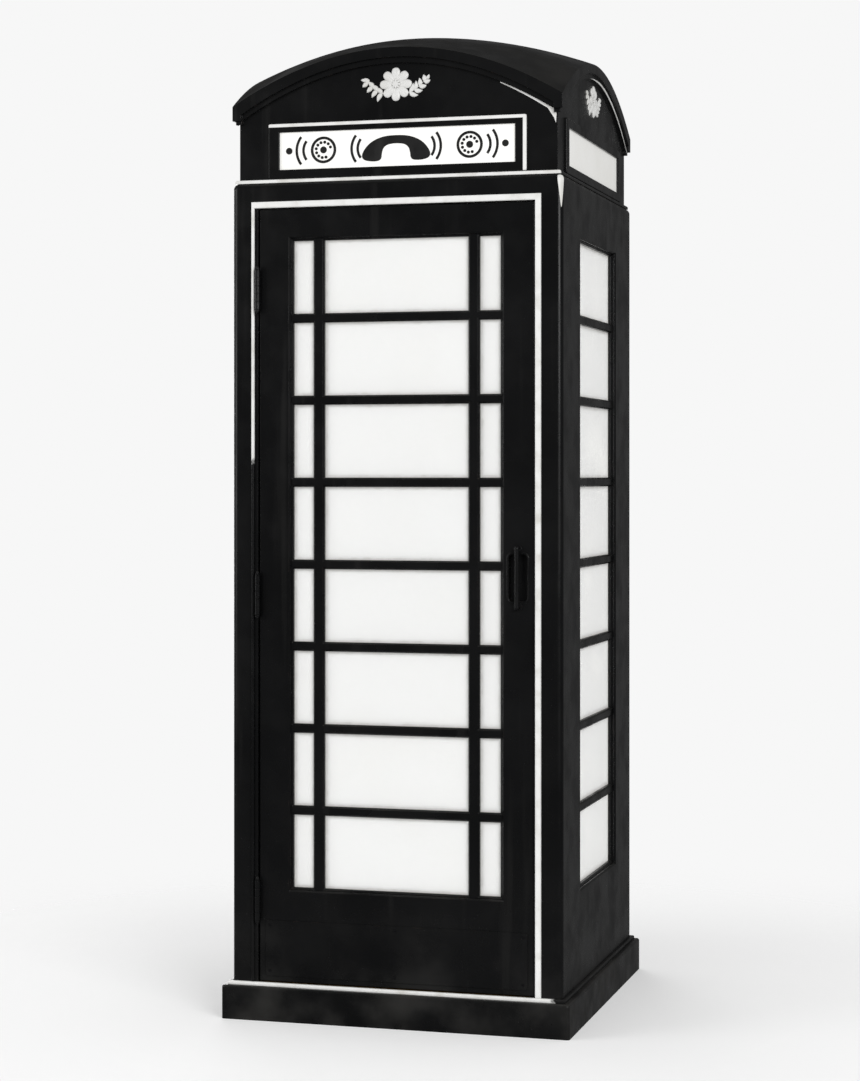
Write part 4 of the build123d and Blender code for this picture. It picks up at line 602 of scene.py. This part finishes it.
def foot_highlight(net):
    """Painted highlight: white along the front until it runs out near the right corner."""
    x, _, _ = net.axes()
    stop = ragged_highlight_end(net, net.math("MULTIPLY", x, -1.0), -FOOT_HIGHLIGHT_END, length=0.03)
    return net.math("MULTIPLY", front_half(net, -WALL_HALF - BEAD_BACK), stop)


def sign_frame_highlight(net):
    """Painted highlight: white on the outer top and right edges of the street side's sign frame."""
    x, _, z = net.axes()
    top = net.ramp(z, SIGN_TOP_HIGHLIGHT - EDGE_BLUR, SIGN_TOP_HIGHLIGHT + EDGE_BLUR)
    right = net.ramp(x, SIGN_RIGHT_HIGHLIGHT - EDGE_BLUR, SIGN_RIGHT_HIGHLIGHT + EDGE_BLUR)
    return net.math("MULTIPLY", net.math("MAXIMUM", top, right), front_half(net, FASCIA_Y))


def assign(material, *names):
    """Gives CAD nodes a material in place of the one they came with."""
    for name in names:
        node = NODES[name]
        node.data.materials.clear()
        node.data.materials.append(material)


def paint_nodes():
    """Every CAD node's finish."""
    assign(enamel("black_enamel_posts", inside=0.3785), "front_frame")
    assign(enamel("black_enamel_walls", inside=0.389, pockets=True), "left_side_frame", "right_side_frame")
    assign(enamel("black_enamel_back", inside=0.410), "back_panel")
    assign(enamel("black_enamel_door", inside=0.393, grain=0.00022), "door_leaf")
    assign(enamel("black_enamel_door_bars", inside=0.4065), "door_glazing_bars")
    assign(enamel("black_enamel_side_bars", inside=0.4085), "left_glazing_bars", "right_glazing_bars")
    assign(enamel("black_enamel_plinth", grit=0.3), "plinth")
    assign(enamel("black_enamel_roof"), "roof_casting")
    # These four beads carry painted white highlights along their edges
    assign(enamel("black_enamel_highlighted_surround", painted_highlight=surround_highlight), "door_surround_bead")
    assign(enamel("black_enamel_highlighted_shoulder", painted_highlight=shoulder_highlight), "shoulder_bead")
    assign(enamel("black_enamel_highlighted_foot", painted_highlight=foot_highlight), "foot_bead")
    assign(enamel("black_enamel_highlighted_signs", painted_highlight=sign_frame_highlight), "sign_frames")
    assign(enamel("black_enamel_ironmongery"), "door_kick_plate", "door_pull")
    assign(enamel("black_enamel_hinges"), "hinge_door_leaves", "hinge_frame_leaves", "hinge_pins")
    # The panes carry a painted glow, stronger on the side panes, which the key light reaches less
    assign(frosted_glass("frosted_door_glass_painted_glow", DOOR_COLUMNS, glow=0.13), "door_panes")
    assign(frosted_glass("frosted_side_glass_painted_glow", SIDE_COLUMNS, glow=0.19), "left_panes", "right_panes")
    assign(lit_opal("opal_sign", glow=0.28), "sign_glasses")
    assign(lit_opal("opal_lamp", glow=1.6), "lamp_lens", "lamp_bulb")
    assign(painted("cream_cabin_steel", CREAM, CREAM_AGED), "corner_angles", "corner_bolts")
    assign(painted("white_ceiling", WHITE, WHITE_AGED), "ceiling_panel", "lamp_base")
    assign(concrete("cement_floor"), "floor_panel")
    assign(rubber("black_rubber"), "door_seal")
    assign(metal("ribbed_brass", BRASS, roughness=0.34, scratches=(0.05, 1, 1)), "threshold_plate")
    assign(metal("galvanised_steel", GALVANISED, roughness=0.42, rust=0.35), "roof_bolts", "shelf_brackets")
    zinc = metal("zinc_conduit", ZINC, roughness=0.38, scratches=(1, 1, 0.1), rust=0.2)
    assign(zinc, "conduit", "conduit_saddles")
    assign(timber("varnished_board"), "backboard", "directory_shelf")
    assign(painted("phone_enamel", PHONE_BLACK, PHONE_WORN, roughness=0.3), "phone_case")
    assign(NODES["phone_case"].data.materials[0], "phone_cover", "instruction_plate")
    chrome = metal("chrome_plate", CHROME, roughness=0.13)
    assign(chrome, "coin_slot_plate", "return_button", "return_flap", "coin_return_cup", "finger_stop")
    assign(chrome, "finger_wheel", "cash_door", "switch_hook", "cord_gland", "notice_frame")
    assign(painted("ivory_dial", IVORY, IVORY_AGED, roughness=0.25), "dial_plate")
    tinplate = metal("tinplate", TINPLATE, roughness=0.36, rust=0.15)
    assign(tinplate, "coin_mechanism", "cash_box", "cash_lock")
    assign(bakelite("black_bakelite"), "handset_handle", "handset_caps")
    assign(card("notice_card"), "notice_card")
    assign(mirror_glass("mirror"), "mirror")


# ------------------------------------------------------------------ sculpted pieces

WALL_TURNS = tuple(Matrix.Rotation(turn * math.pi / 2, 4, "Z") for turn in range(4))
FRONT_ONLY = WALL_TURNS[:1]
FRONT_AND_BACK = WALL_TURNS[::2]


def new_piece(name, bm, material, turns=FRONT_ONLY, body="kiosk", smooth_under=40):
    """Makes an object from a mesh drawn on the front, repeated on the walls that turns lead to."""
    mesh = bpy.data.meshes.new(name)
    whole = bmesh.new()
    for turn in turns:
        bm.to_mesh(mesh)
        mesh.transform(turn)
        whole.from_mesh(mesh)
    bmesh.ops.recalc_face_normals(whole, faces=whole.faces)
    for face in whole.faces:
        face.smooth = True
    for edge in whole.edges:
        edge.smooth = len(edge.link_faces) == 2 and edge.calc_face_angle(0.0) < math.radians(smooth_under)
    whole.to_mesh(mesh)
    whole.free()
    bm.free()
    mesh.materials.append(material)
    piece = bpy.data.objects.new(name, mesh)
    bpy.context.scene.collection.objects.link(piece)
    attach(piece, body)
    return piece


def skin(bm, rows, close_rows=False):
    """Joins a list of equally long rows of points into faces, and returns the rows of vertices."""
    made = [[bm.verts.new(point) for point in row] for row in rows]
    pairs = list(zip(made, made[1:]))
    if close_rows:
        pairs.append((made[-1], made[0]))
    for lower, upper in pairs:
        for index in range(len(lower) - 1):
            bm.faces.new((lower[index], lower[index + 1], upper[index + 1], upper[index]))
    return made


def loft(bm, sections, closed=False):
    """A solid through rings of points, with its ends capped or, if closed, joined to each other."""
    rings = [[bm.verts.new(point) for point in ring] for ring in sections]
    count = len(rings[0])
    followers = rings[1:] + rings[:1] if closed else rings[1:]
    for lower, upper in zip(rings, followers):
        for index in range(count):
            after = (index + 1) % count
            bm.faces.new((lower[index], lower[after], upper[after], upper[index]))
    if not closed:
        bm.faces.new(rings[0])
        bm.faces.new(rings[-1])


def prism(bm, outline, back_y, thickness, soft=0.0):
    """A flat shape, drawn in X and Z, that stands out towards -Y with softened front edges."""
    middle = Vector((sum(p[0] for p in outline), 0, sum(p[1] for p in outline))) / len(outline)

    def ring(y, inset):
        points = []
        for x, z in outline:
            to_middle = (middle - Vector((x, 0, z))).normalized() * inset
            points.append((x + to_middle.x, y, z + to_middle.z))
        return points

    front_y = back_y - thickness
    loft(bm, [ring(back_y, 0), ring(front_y + soft, 0), ring(front_y, soft)])


def arc_band(bm, centre, outer, inner, start, sweep, back_y, thickness):
    """Part of a flat ring round a centre in X and Z, from start through sweep degrees."""
    steps = max(6, int(abs(sweep) / 5))
    closed = abs(sweep) >= 360
    sections = []
    for step in range(steps if closed else steps + 1):
        angle = math.radians(start + sweep * step / steps)
        across, up = math.cos(angle), math.sin(angle)
        section = []
        for radius, y in ((outer, 0), (outer, thickness), (inner, thickness), (inner, 0)):
            section.append((centre[0] + radius * across, back_y - y, centre[1] + radius * up))
        sections.append(section)
    loft(bm, sections, closed)


def disc(bm, centre, radius, back_y, thickness, soft=0.0, sides=32):
    turn = 2 * math.pi / sides
    outline = [
        (centre[0] + radius * math.cos(turn * step), centre[1] + radius * math.sin(turn * step))
        for step in range(sides)
    ]
    prism(bm, outline, back_y, thickness, soft)


def rounded(outline, rounds=3):
    """Cuts an outline's corners again and again until it is smooth."""
    for _ in range(rounds):
        cut = []
        for (ax, az), (bx, bz) in zip(outline, outline[1:] + outline[:1]):
            cut.append((ax * 0.75 + bx * 0.25, az * 0.75 + bz * 0.25))
            cut.append((ax * 0.25 + bx * 0.75, az * 0.25 + bz * 0.75))
        outline = cut
    return outline


# Half of a handset seen from the side, in millimetres, from the middle of its back round to its grip
HANDSET_HALF = (
    (0, 27), (24, 26), (46, 20), (64, 9), (76, -6), (80, -17), (76, -26), (60, -30), (42, -30),
    (34, -25), (33, -13), (30, -1), (20, 7), (0, 9),
)
HANDSET_SCALE = 0.00112
HANDSET_WAVES_X = 0.062
HANDSET_WAVES = (0.038, 0.054)
DIAL_SIGN_X = 0.190
DIAL_SIGN_R = 0.0335
DIAL_WAVES_X = 0.205
DIAL_WAVES = (0.038, 0.056)
STUD_X = 0.281
STUD_R = 0.0085
WAVE_HALF_W = 0.0032
WAVE_HALF_ANGLE = 38
INK_T = 0.0011
DIAL_HOLES = 10
FIRST_HOLE = 20
HOLE_STEP = 30


def handset_outline(centre, scale):
    """The whole handset's outline round a centre in X and Z."""
    mirrored = [(-x, z) for x, z in reversed(HANDSET_HALF[1:-1])]
    outline = rounded(list(HANDSET_HALF) + mirrored, 2)
    return [(centre[0] + x * scale, centre[1] + z * scale) for x, z in outline]


def dial_sign(bm, centre, radius, back_y):
    """A dial seen from the front: a ring, ten holes and a centre."""
    arc_band(bm, centre, radius, radius * 0.80, 0, 360, back_y, INK_T)
    for hole in range(DIAL_HOLES):
        angle = math.radians(FIRST_HOLE + hole * HOLE_STEP)
        place = (centre[0] + radius * 0.58 * math.cos(angle), centre[1] + radius * 0.58 * math.sin(angle))
        disc(bm, place, radius * 0.115, back_y, INK_T, sides=16)
    disc(bm, centre, radius * 0.26, back_y, INK_T)


def sound_waves(bm, centre, side, radii, back_y):
    """Arcs that spread away from the handset to one side."""
    start = -WAVE_HALF_ANGLE if side > 0 else 180 - WAVE_HALF_ANGLE
    for radius in radii:
        outer, inner = radius + WAVE_HALF_W, radius - WAVE_HALF_W
        arc_band(bm, centre, outer, inner, start, 2 * WAVE_HALF_ANGLE, back_y, INK_T)


def add_sign_pictures(ink):
    """Black pictures on the front and back signs: a handset, sound waves, dials and studs."""
    bm = bmesh.new()
    prism(bm, handset_outline((0, SIGN_Z), HANDSET_SCALE), FASCIA_Y, INK_T)
    for side in (1, -1):
        sound_waves(bm, (side * HANDSET_WAVES_X, SIGN_Z), side, HANDSET_WAVES, FASCIA_Y)
        dial_sign(bm, (side * DIAL_SIGN_X, SIGN_Z), DIAL_SIGN_R, FASCIA_Y)
        sound_waves(bm, (side * DIAL_WAVES_X, SIGN_Z), side, DIAL_WAVES, FASCIA_Y)
        disc(bm, (side * STUD_X, SIGN_Z), STUD_R, FASCIA_Y, INK_T)
    new_piece("sign_pictures", bm, ink, turns=FRONT_AND_BACK)


PETALS = 8
BADGE_T = 0.0066
ROSETTE_R = 0.0415
BADGE_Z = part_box("roof_emblems")[1].z - ROSETTE_R
BOSS_SHARE = 0.26
PETAL_SHARE = 0.32
STEM_STEPS = 12
STEM_R = 0.0017
LEAF_PAIRS = 4
LEAF_L = 0.0245
LEAF_W = 0.0118
TIP_LEAF_L = 0.0135
TIP_LEAF_W = 0.0085
TIP_HEADING = 0.62
BERRY_R = 0.0023
BERRY_T = 0.0038


def rosette_height(share, swing):
    """How far the rosette stands out: share is the way out to the rim, swing the way across a petal."""
    if share < BOSS_SHARE:
        return BADGE_T * (0.62 + 0.38 * math.sqrt(max(0.0, 1 - (share / BOSS_SHARE) ** 2)))
    if share < PETAL_SHARE:
        return BADGE_T * 0.34
    along = (share - PETAL_SHARE) / (1 - PETAL_SHARE)
    swell = math.sin(math.pi * min(1.0, along * 0.94 + 0.06)) ** 0.55
    rib = 0.16 * math.exp(-((swing / 0.16) ** 2))
    return BADGE_T * (0.20 + swell * (0.72 * (1 - 0.62 * swing**2) - rib))


def add_rosette(bm):
    """An eight-petal rosette with a domed boss, ribbed petals and notches between them."""
    around, out = 192, 26
    rows = []
    for step in range(around):
        angle = 2 * math.pi * step / around
        swing = abs(((angle * PETALS / (2 * math.pi) + 0.5) % 1) - 0.5) * 2
        rim = ROSETTE_R * (1 - 0.30 * swing**2.6)
        row = []
        for ring in range(out + 1):
            share = ring / out
            radius = rim * share
            height = rosette_height(share, swing)
            row.append((radius * math.sin(angle), FASCIA_Y - height, BADGE_Z + radius * math.cos(angle)))
        row.append((rim * math.sin(angle), FASCIA_Y, BADGE_Z + rim * math.cos(angle)))
        rows.append(row)
    skin(bm, rows, close_rows=True)
    bmesh.ops.remove_doubles(bm, verts=bm.verts, dist=1e-6)


def add_leaf(bm, root, heading, length, width):
    """A pointed leaf that swells from its root, with a midrib pressed into it."""
    along_steps, across_steps = 14, 8
    rows = []
    for step in range(along_steps + 1):
        share = step / along_steps
        half = width / 2 * math.sin(math.pi * share**0.8) ** 0.8 + 0.0003
        bend = heading + 0.35 * share * share
        row = []
        for turn in range(across_steps + 1):
            across = 2 * turn / across_steps - 1
            swell = (1 - abs(across) ** 2.2) * math.sin(math.pi * min(1.0, share * 0.9 + 0.05)) ** 0.6
            groove = 0.22 * math.exp(-((across / 0.22) ** 2))
            lift = 0.0006 + 0.0036 * max(0.0, swell - groove)
            x = root[0] + share * length * math.cos(bend) - across * half * math.sin(bend)
            z = root[1] + share * length * math.sin(bend) + across * half * math.cos(bend)
            row.append((x, FASCIA_Y - lift, z))
        row.insert(0, (row[0][0], FASCIA_Y, row[0][2]))
        row.append((row[-1][0], FASCIA_Y, row[-1][2]))
        rows.append(row)
    skin(bm, rows)


def spray_point(share, side):
    """The middle of a spray's stem, from behind the rosette out to its tip."""
    return side * (0.030 + 0.052 * share), BADGE_Z - 0.022 + 0.036 * share**1.5


def add_spray(bm, side):
    """A curved stem with leaves in pairs, a leaf at its tip and a berry in each fork."""
    stem = [spray_point(step / STEM_STEPS, side) for step in range(STEM_STEPS + 1)]
    sections = []
    for index, (x, z) in enumerate(stem):
        radius = STEM_R * (1 - 0.045 * index)
        ring = []
        for turn in range(8):
            angle = math.pi * turn / 7
            ring.append((x, FASCIA_Y - radius * 1.5 * math.sin(angle), z + radius * math.cos(angle)))
        sections.append(ring)
    loft(bm, sections)
    for pair in range(LEAF_PAIRS):
        share = 0.10 + pair * 0.24
        x, z = spray_point(share, side)
        lean = math.atan2(0.051 * share**0.7, 0.056)
        for tilt in (0.75, -0.75):
            heading = lean + tilt - 0.12
            if side < 0:
                heading = math.pi - heading
            add_leaf(bm, (x, z), heading, LEAF_L - 0.0026 * pair, LEAF_W)
        add_berry(bm, (x + side * 0.0035, z + 0.0085))
    x, z = spray_point(0.93, side)
    heading = TIP_HEADING if side > 0 else math.pi - TIP_HEADING
    add_leaf(bm, (x, z), heading, TIP_LEAF_L, TIP_LEAF_W)


def add_berry(bm, place):
    """A small half-round stud."""
    sections = []
    for ring in range(5):
        angle = math.pi / 2 * ring / 5
        radius = BERRY_R * math.cos(angle)
        y = FASCIA_Y - BERRY_T * math.sin(angle)
        circle = []
        for turn in range(12):
            swing = 2 * math.pi * turn / 12
            circle.append((place[0] + radius * math.cos(swing), y, place[1] + radius * math.sin(swing)))
        sections.append(circle)
    loft(bm, sections)


def add_badges(white):
    """The sculpted badge on every fascia."""
    bm = bmesh.new()
    add_rosette(bm)
    for side in (1, -1):
        add_spray(bm, side)
    badges = new_piece("badges", bm, white, turns=WALL_TURNS, smooth_under=75)
    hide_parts("roof_emblems")


# ------------------------------------------------------------------ painted highlights

HIGHLIGHT_T = 0.0009
HIGHLIGHT_SOFT = 0.0003
HOOK_GAP = 0.0012
HOOK_START_W = 0.0024
HOOK_SWELL = 0.0052
HOOK_END = [(0.4105, 2.2665), (0.4085, 2.2350), (0.4040, 2.2475), (0.3980, 2.2565)]
CORNICE_Y = FASCIA_Y - 0.008
CORNICE_CROWN = 2.399
CORNICE_DROP = 0.144
ARRIS_R = 0.014
ARRIS_TOP = WALL_HIGH.z - ARRIS_R
ARRIS_END = WALL_HIGH.z - 0.082
ARRIS_SPREAD = 38


def tapered(share, full, head, tail):
    """A painted highlight's width: it swells over head, stays full, and thins out over tail."""
    return full * min(1.0, 0.12 + share / head, 0.10 + (1 - share) / tail)


def under_cornice(x):
    """The height of the lower edge of the pediment's lower step."""
    return CORNICE_CROWN - CORNICE_DROP * (x / WALL_HALF) ** 2


def hooked_highlight(start, end):
    """A painted highlight on the fascia close under the cornice, swelling to the right until it turns down.
    """
    steps = 32
    upper, lower = [], []
    for step in range(steps + 1):
        share = step / steps
        x = start + (end - start) * share
        top = under_cornice(x) - HOOK_GAP
        upper.append((x, top))
        lower.append((x, top - HOOK_START_W - HOOK_SWELL * share))
    bm = bmesh.new()
    prism(bm, upper + HOOK_END + lower[::-1], FASCIA_Y, HIGHLIGHT_T)
    return bm


def cornice_highlight(start, end, full, head, tail):
    """A painted highlight along the lower edge of the pediment's lower step."""
    bm = bmesh.new()
    steps = 48
    sections = []
    for step in range(steps + 1):
        share = step / steps
        x = start + (end - start) * share
        low = under_cornice(x) + 0.0008
        wobble = 0.0004 * math.sin(37 * share) + 0.0003 * math.sin(91 * share + 1)
        high = low + tapered(share, full, head, tail) + wobble
        y = CORNICE_Y - HIGHLIGHT_T
        edges = ((CORNICE_Y, low), (y, low + HIGHLIGHT_SOFT), (y, high - HIGHLIGHT_SOFT), (CORNICE_Y, high))
        sections.append([(x, *edge) for edge in edges])
    loft(bm, sections)
    return bm


def arris_highlight():
    """The shoulder's painted highlight where it turns down the right front arris and runs out."""
    bm = bmesh.new()
    corner = WALL_HALF - ARRIS_R
    places = []
    for step in range(11):
        rise = math.radians(50 - 5 * step)
        places.append((ARRIS_R * math.cos(rise), ARRIS_TOP + ARRIS_R * math.sin(rise)))
    for step in range(1, 13):
        places.append((ARRIS_R, ARRIS_TOP + (ARRIS_END - ARRIS_TOP) * step / 12))
    sections = []
    for index, (reach, z) in enumerate(places):
        spread = ARRIS_SPREAD * tapered(index / (len(places) - 1), 1.0, 0.08, 0.6)
        ring = []
        for lift in (0.0, HIGHLIGHT_T):
            angles = [spread * (turn / 4 - 1) for turn in range(9)]
            for angle in angles if lift == 0.0 else reversed(angles):
                heading = math.radians(-45 + angle)
                out = reach + lift
                ring.append((corner + out * math.cos(heading), -corner + out * math.sin(heading), z))
        sections.append(ring)
    loft(bm, sections)
    return bm


def add_painted_highlights(white):
    """The painted white highlights that no bead carries."""
    new_piece("front_pediment_highlight", hooked_highlight(start=0.268, end=0.388), white)
    stroke = cornice_highlight(start=-0.060, end=0.413, full=0.0058, head=0.3, tail=0.3)
    new_piece("side_pediment_highlights", stroke, white, turns=WALL_TURNS[1:])
    new_piece("shoulder_turn_highlight", arris_highlight(), white)


# ------------------------------------------------------------------ small fittings


def middle_of(node):
    """The middle of a CAD node's box in X and Z."""
    low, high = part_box(node)
    return (low.x + high.x) / 2, (low.z + high.z) / 2


KICK_FACE_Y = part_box("door_kick_plate")[0].y
SCREW_SINK = 0.0008
SCREW_R = 0.0037
SCREW_T = 0.0012
SLOT_HALF_ANGLE = 8
SCREW_PLACES = tuple((x, z) for x in (-0.328, 0.0, 0.328) for z in (0.122, 0.238))


def add_screws(steel):
    """Slotted countersunk screws in the kick plate's dimples, each slot turned its own way."""
    bm = bmesh.new()
    for index, (x, z) in enumerate(SCREW_PLACES):
        heading = 0.5 + index * 1.9
        for side in (0, math.pi):
            outline = []
            for step in range(17):
                swing = SLOT_HALF_ANGLE + step * (180 - 2 * SLOT_HALF_ANGLE) / 16
                angle = heading + side + math.radians(swing)
                outline.append((x + SCREW_R * math.cos(angle), z + SCREW_R * math.sin(angle)))
            prism(bm, outline, KICK_FACE_Y + SCREW_SINK, SCREW_T, soft=0.0003)
    new_piece("kick_plate_screws", bm, steel, body="door")


LEAF_FACE_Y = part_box("door_leaf")[0].y
PULL_CENTRE = middle_of("door_pull")
RIM_HALF_W = 0.0235
RIM_HALF_H = 0.0585
RIM_ROUND = 0.0105
RIM_W = 0.0055
RIM_T = 0.0014


def rounded_rectangle(centre, half_w, half_h, radius, grow, steps=6):
    """Points round a rectangle in X and Z whose corners have that radius, grown outwards."""
    points = []
    for quarter, (side, end) in enumerate(((1, 1), (-1, 1), (-1, -1), (1, -1))):
        middle = (centre[0] + side * (half_w - radius), centre[1] + end * (half_h - radius))
        for step in range(steps + 1):
            angle = math.pi / 2 * (quarter + step / steps)
            reach = radius + grow
            points.append((middle[0] + reach * math.cos(angle), middle[1] + reach * math.sin(angle)))
    return points


def add_pull_rim(iron):
    """A low rim round the pocket behind the door pull."""
    bm = bmesh.new()
    inner_edge = ((0, 0), (0, RIM_T * 0.6), (RIM_W * 0.15, RIM_T))
    outer_edge = ((RIM_W * 0.85, RIM_T), (RIM_W, RIM_T * 0.6), (RIM_W, 0))
    profile = inner_edge + outer_edge
    loops = [rounded_rectangle(PULL_CENTRE, RIM_HALF_W, RIM_HALF_H, RIM_ROUND, grow) for grow, _ in profile]
    sections = [
        [(x, LEAF_FACE_Y - lift, z) for (x, z), (_, lift) in zip(points, profile)] for points in zip(*loops)
    ]
    loft(bm, sections, closed=True)
    new_piece("pull_rim", bm, iron, body="door")


DIAL_CENTRE = middle_of("finger_wheel")
DIAL_FACE_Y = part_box("dial_plate")[0].y
NUMERAL_RING = 0.029
NUMERAL_SIZE = 0.0085
NUMERAL_T = 0.00012


def add_numerals(ink):
    """The figures 1 to 0 under the finger holes."""
    for hole in range(DIAL_HOLES):
        angle = math.radians(FIRST_HOLE + hole * HOLE_STEP)
        text = bpy.data.curves.new("figure", "FONT")
        text.body = str((hole + 1) % 10)
        text.size = NUMERAL_SIZE
        text.extrude = NUMERAL_T
        text.align_x = "CENTER"
        text.align_y = "CENTER"
        shape = bpy.data.objects.new("figure", text)
        mesh = bpy.data.meshes.new_from_object(shape)
        bpy.data.objects.remove(shape)
        x = DIAL_CENTRE[0] + NUMERAL_RING * math.cos(angle)
        z = DIAL_CENTRE[1] + NUMERAL_RING * math.sin(angle)
        upright = Matrix.Rotation(math.pi / 2, 4, "X")
        mesh.transform(Matrix.Translation((x, DIAL_FACE_Y - NUMERAL_T, z)) @ upright)
        bm = bmesh.new()
        bm.from_mesh(mesh)
        new_piece(f"dial_figure_{(hole + 1) % 10}", bm, ink)


PLATE_CENTRE = middle_of("instruction_plate")
PLATE_FACE_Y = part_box("instruction_plate")[0].y
PLATE_INK_T = 0.0002
PLATE_PITCH = 0.031
PLATE_HANDSET_SCALE = 0.00017
COIN_R = 0.0105
COIN_RIM_R = 0.0085
COIN_CENTRE_R = 0.0045
PLATE_DIAL_R = 0.012


def add_instructions(white):
    """Three pictures on the instruction plate: lift the handset, pay, and dial."""
    bm = bmesh.new()
    x, z = PLATE_CENTRE
    handset = handset_outline((x - PLATE_PITCH, z), PLATE_HANDSET_SCALE)
    prism(bm, handset, PLATE_FACE_Y, PLATE_INK_T)
    arc_band(bm, PLATE_CENTRE, COIN_R, COIN_RIM_R, 0, 360, PLATE_FACE_Y, PLATE_INK_T)
    disc(bm, PLATE_CENTRE, COIN_CENTRE_R, PLATE_FACE_Y, PLATE_INK_T)
    dial_sign(bm, (x + PLATE_PITCH, z), PLATE_DIAL_R, PLATE_FACE_Y)
    new_piece("instruction_pictures", bm, white)


# ------------------------------------------------------------------ put it together


add_camera()
add_world(WORLD_LIGHT, WORLD_IN_REFLECTIONS)
for light in LIGHTS:
    add_area_light(*light)
add_floor()
bpy.context.scene.view_settings.view_transform = "Standard"

paint_nodes()
# White paint for the painted highlights and for the print on the instruction plate
highlight_and_print_white = painted("white_highlight_and_print_paint", WHITE, WHITE_AGED)
add_sign_pictures(painted("sign_ink", SIGN_INK, SIGN_INK_WORN, roughness=0.45))
add_badges(painted("white_badge_paint", BADGE_WHITE, WHITE_AGED, crevice=0.006))
add_painted_highlights(highlight_and_print_white)
add_screws(metal("blackened_steel", BLACKENED_STEEL, roughness=0.38))
add_pull_rim(NODES["door_pull"].data.materials[0])
add_numerals(NODES["handset_caps"].data.materials[0])
add_instructions(highlight_and_print_white)
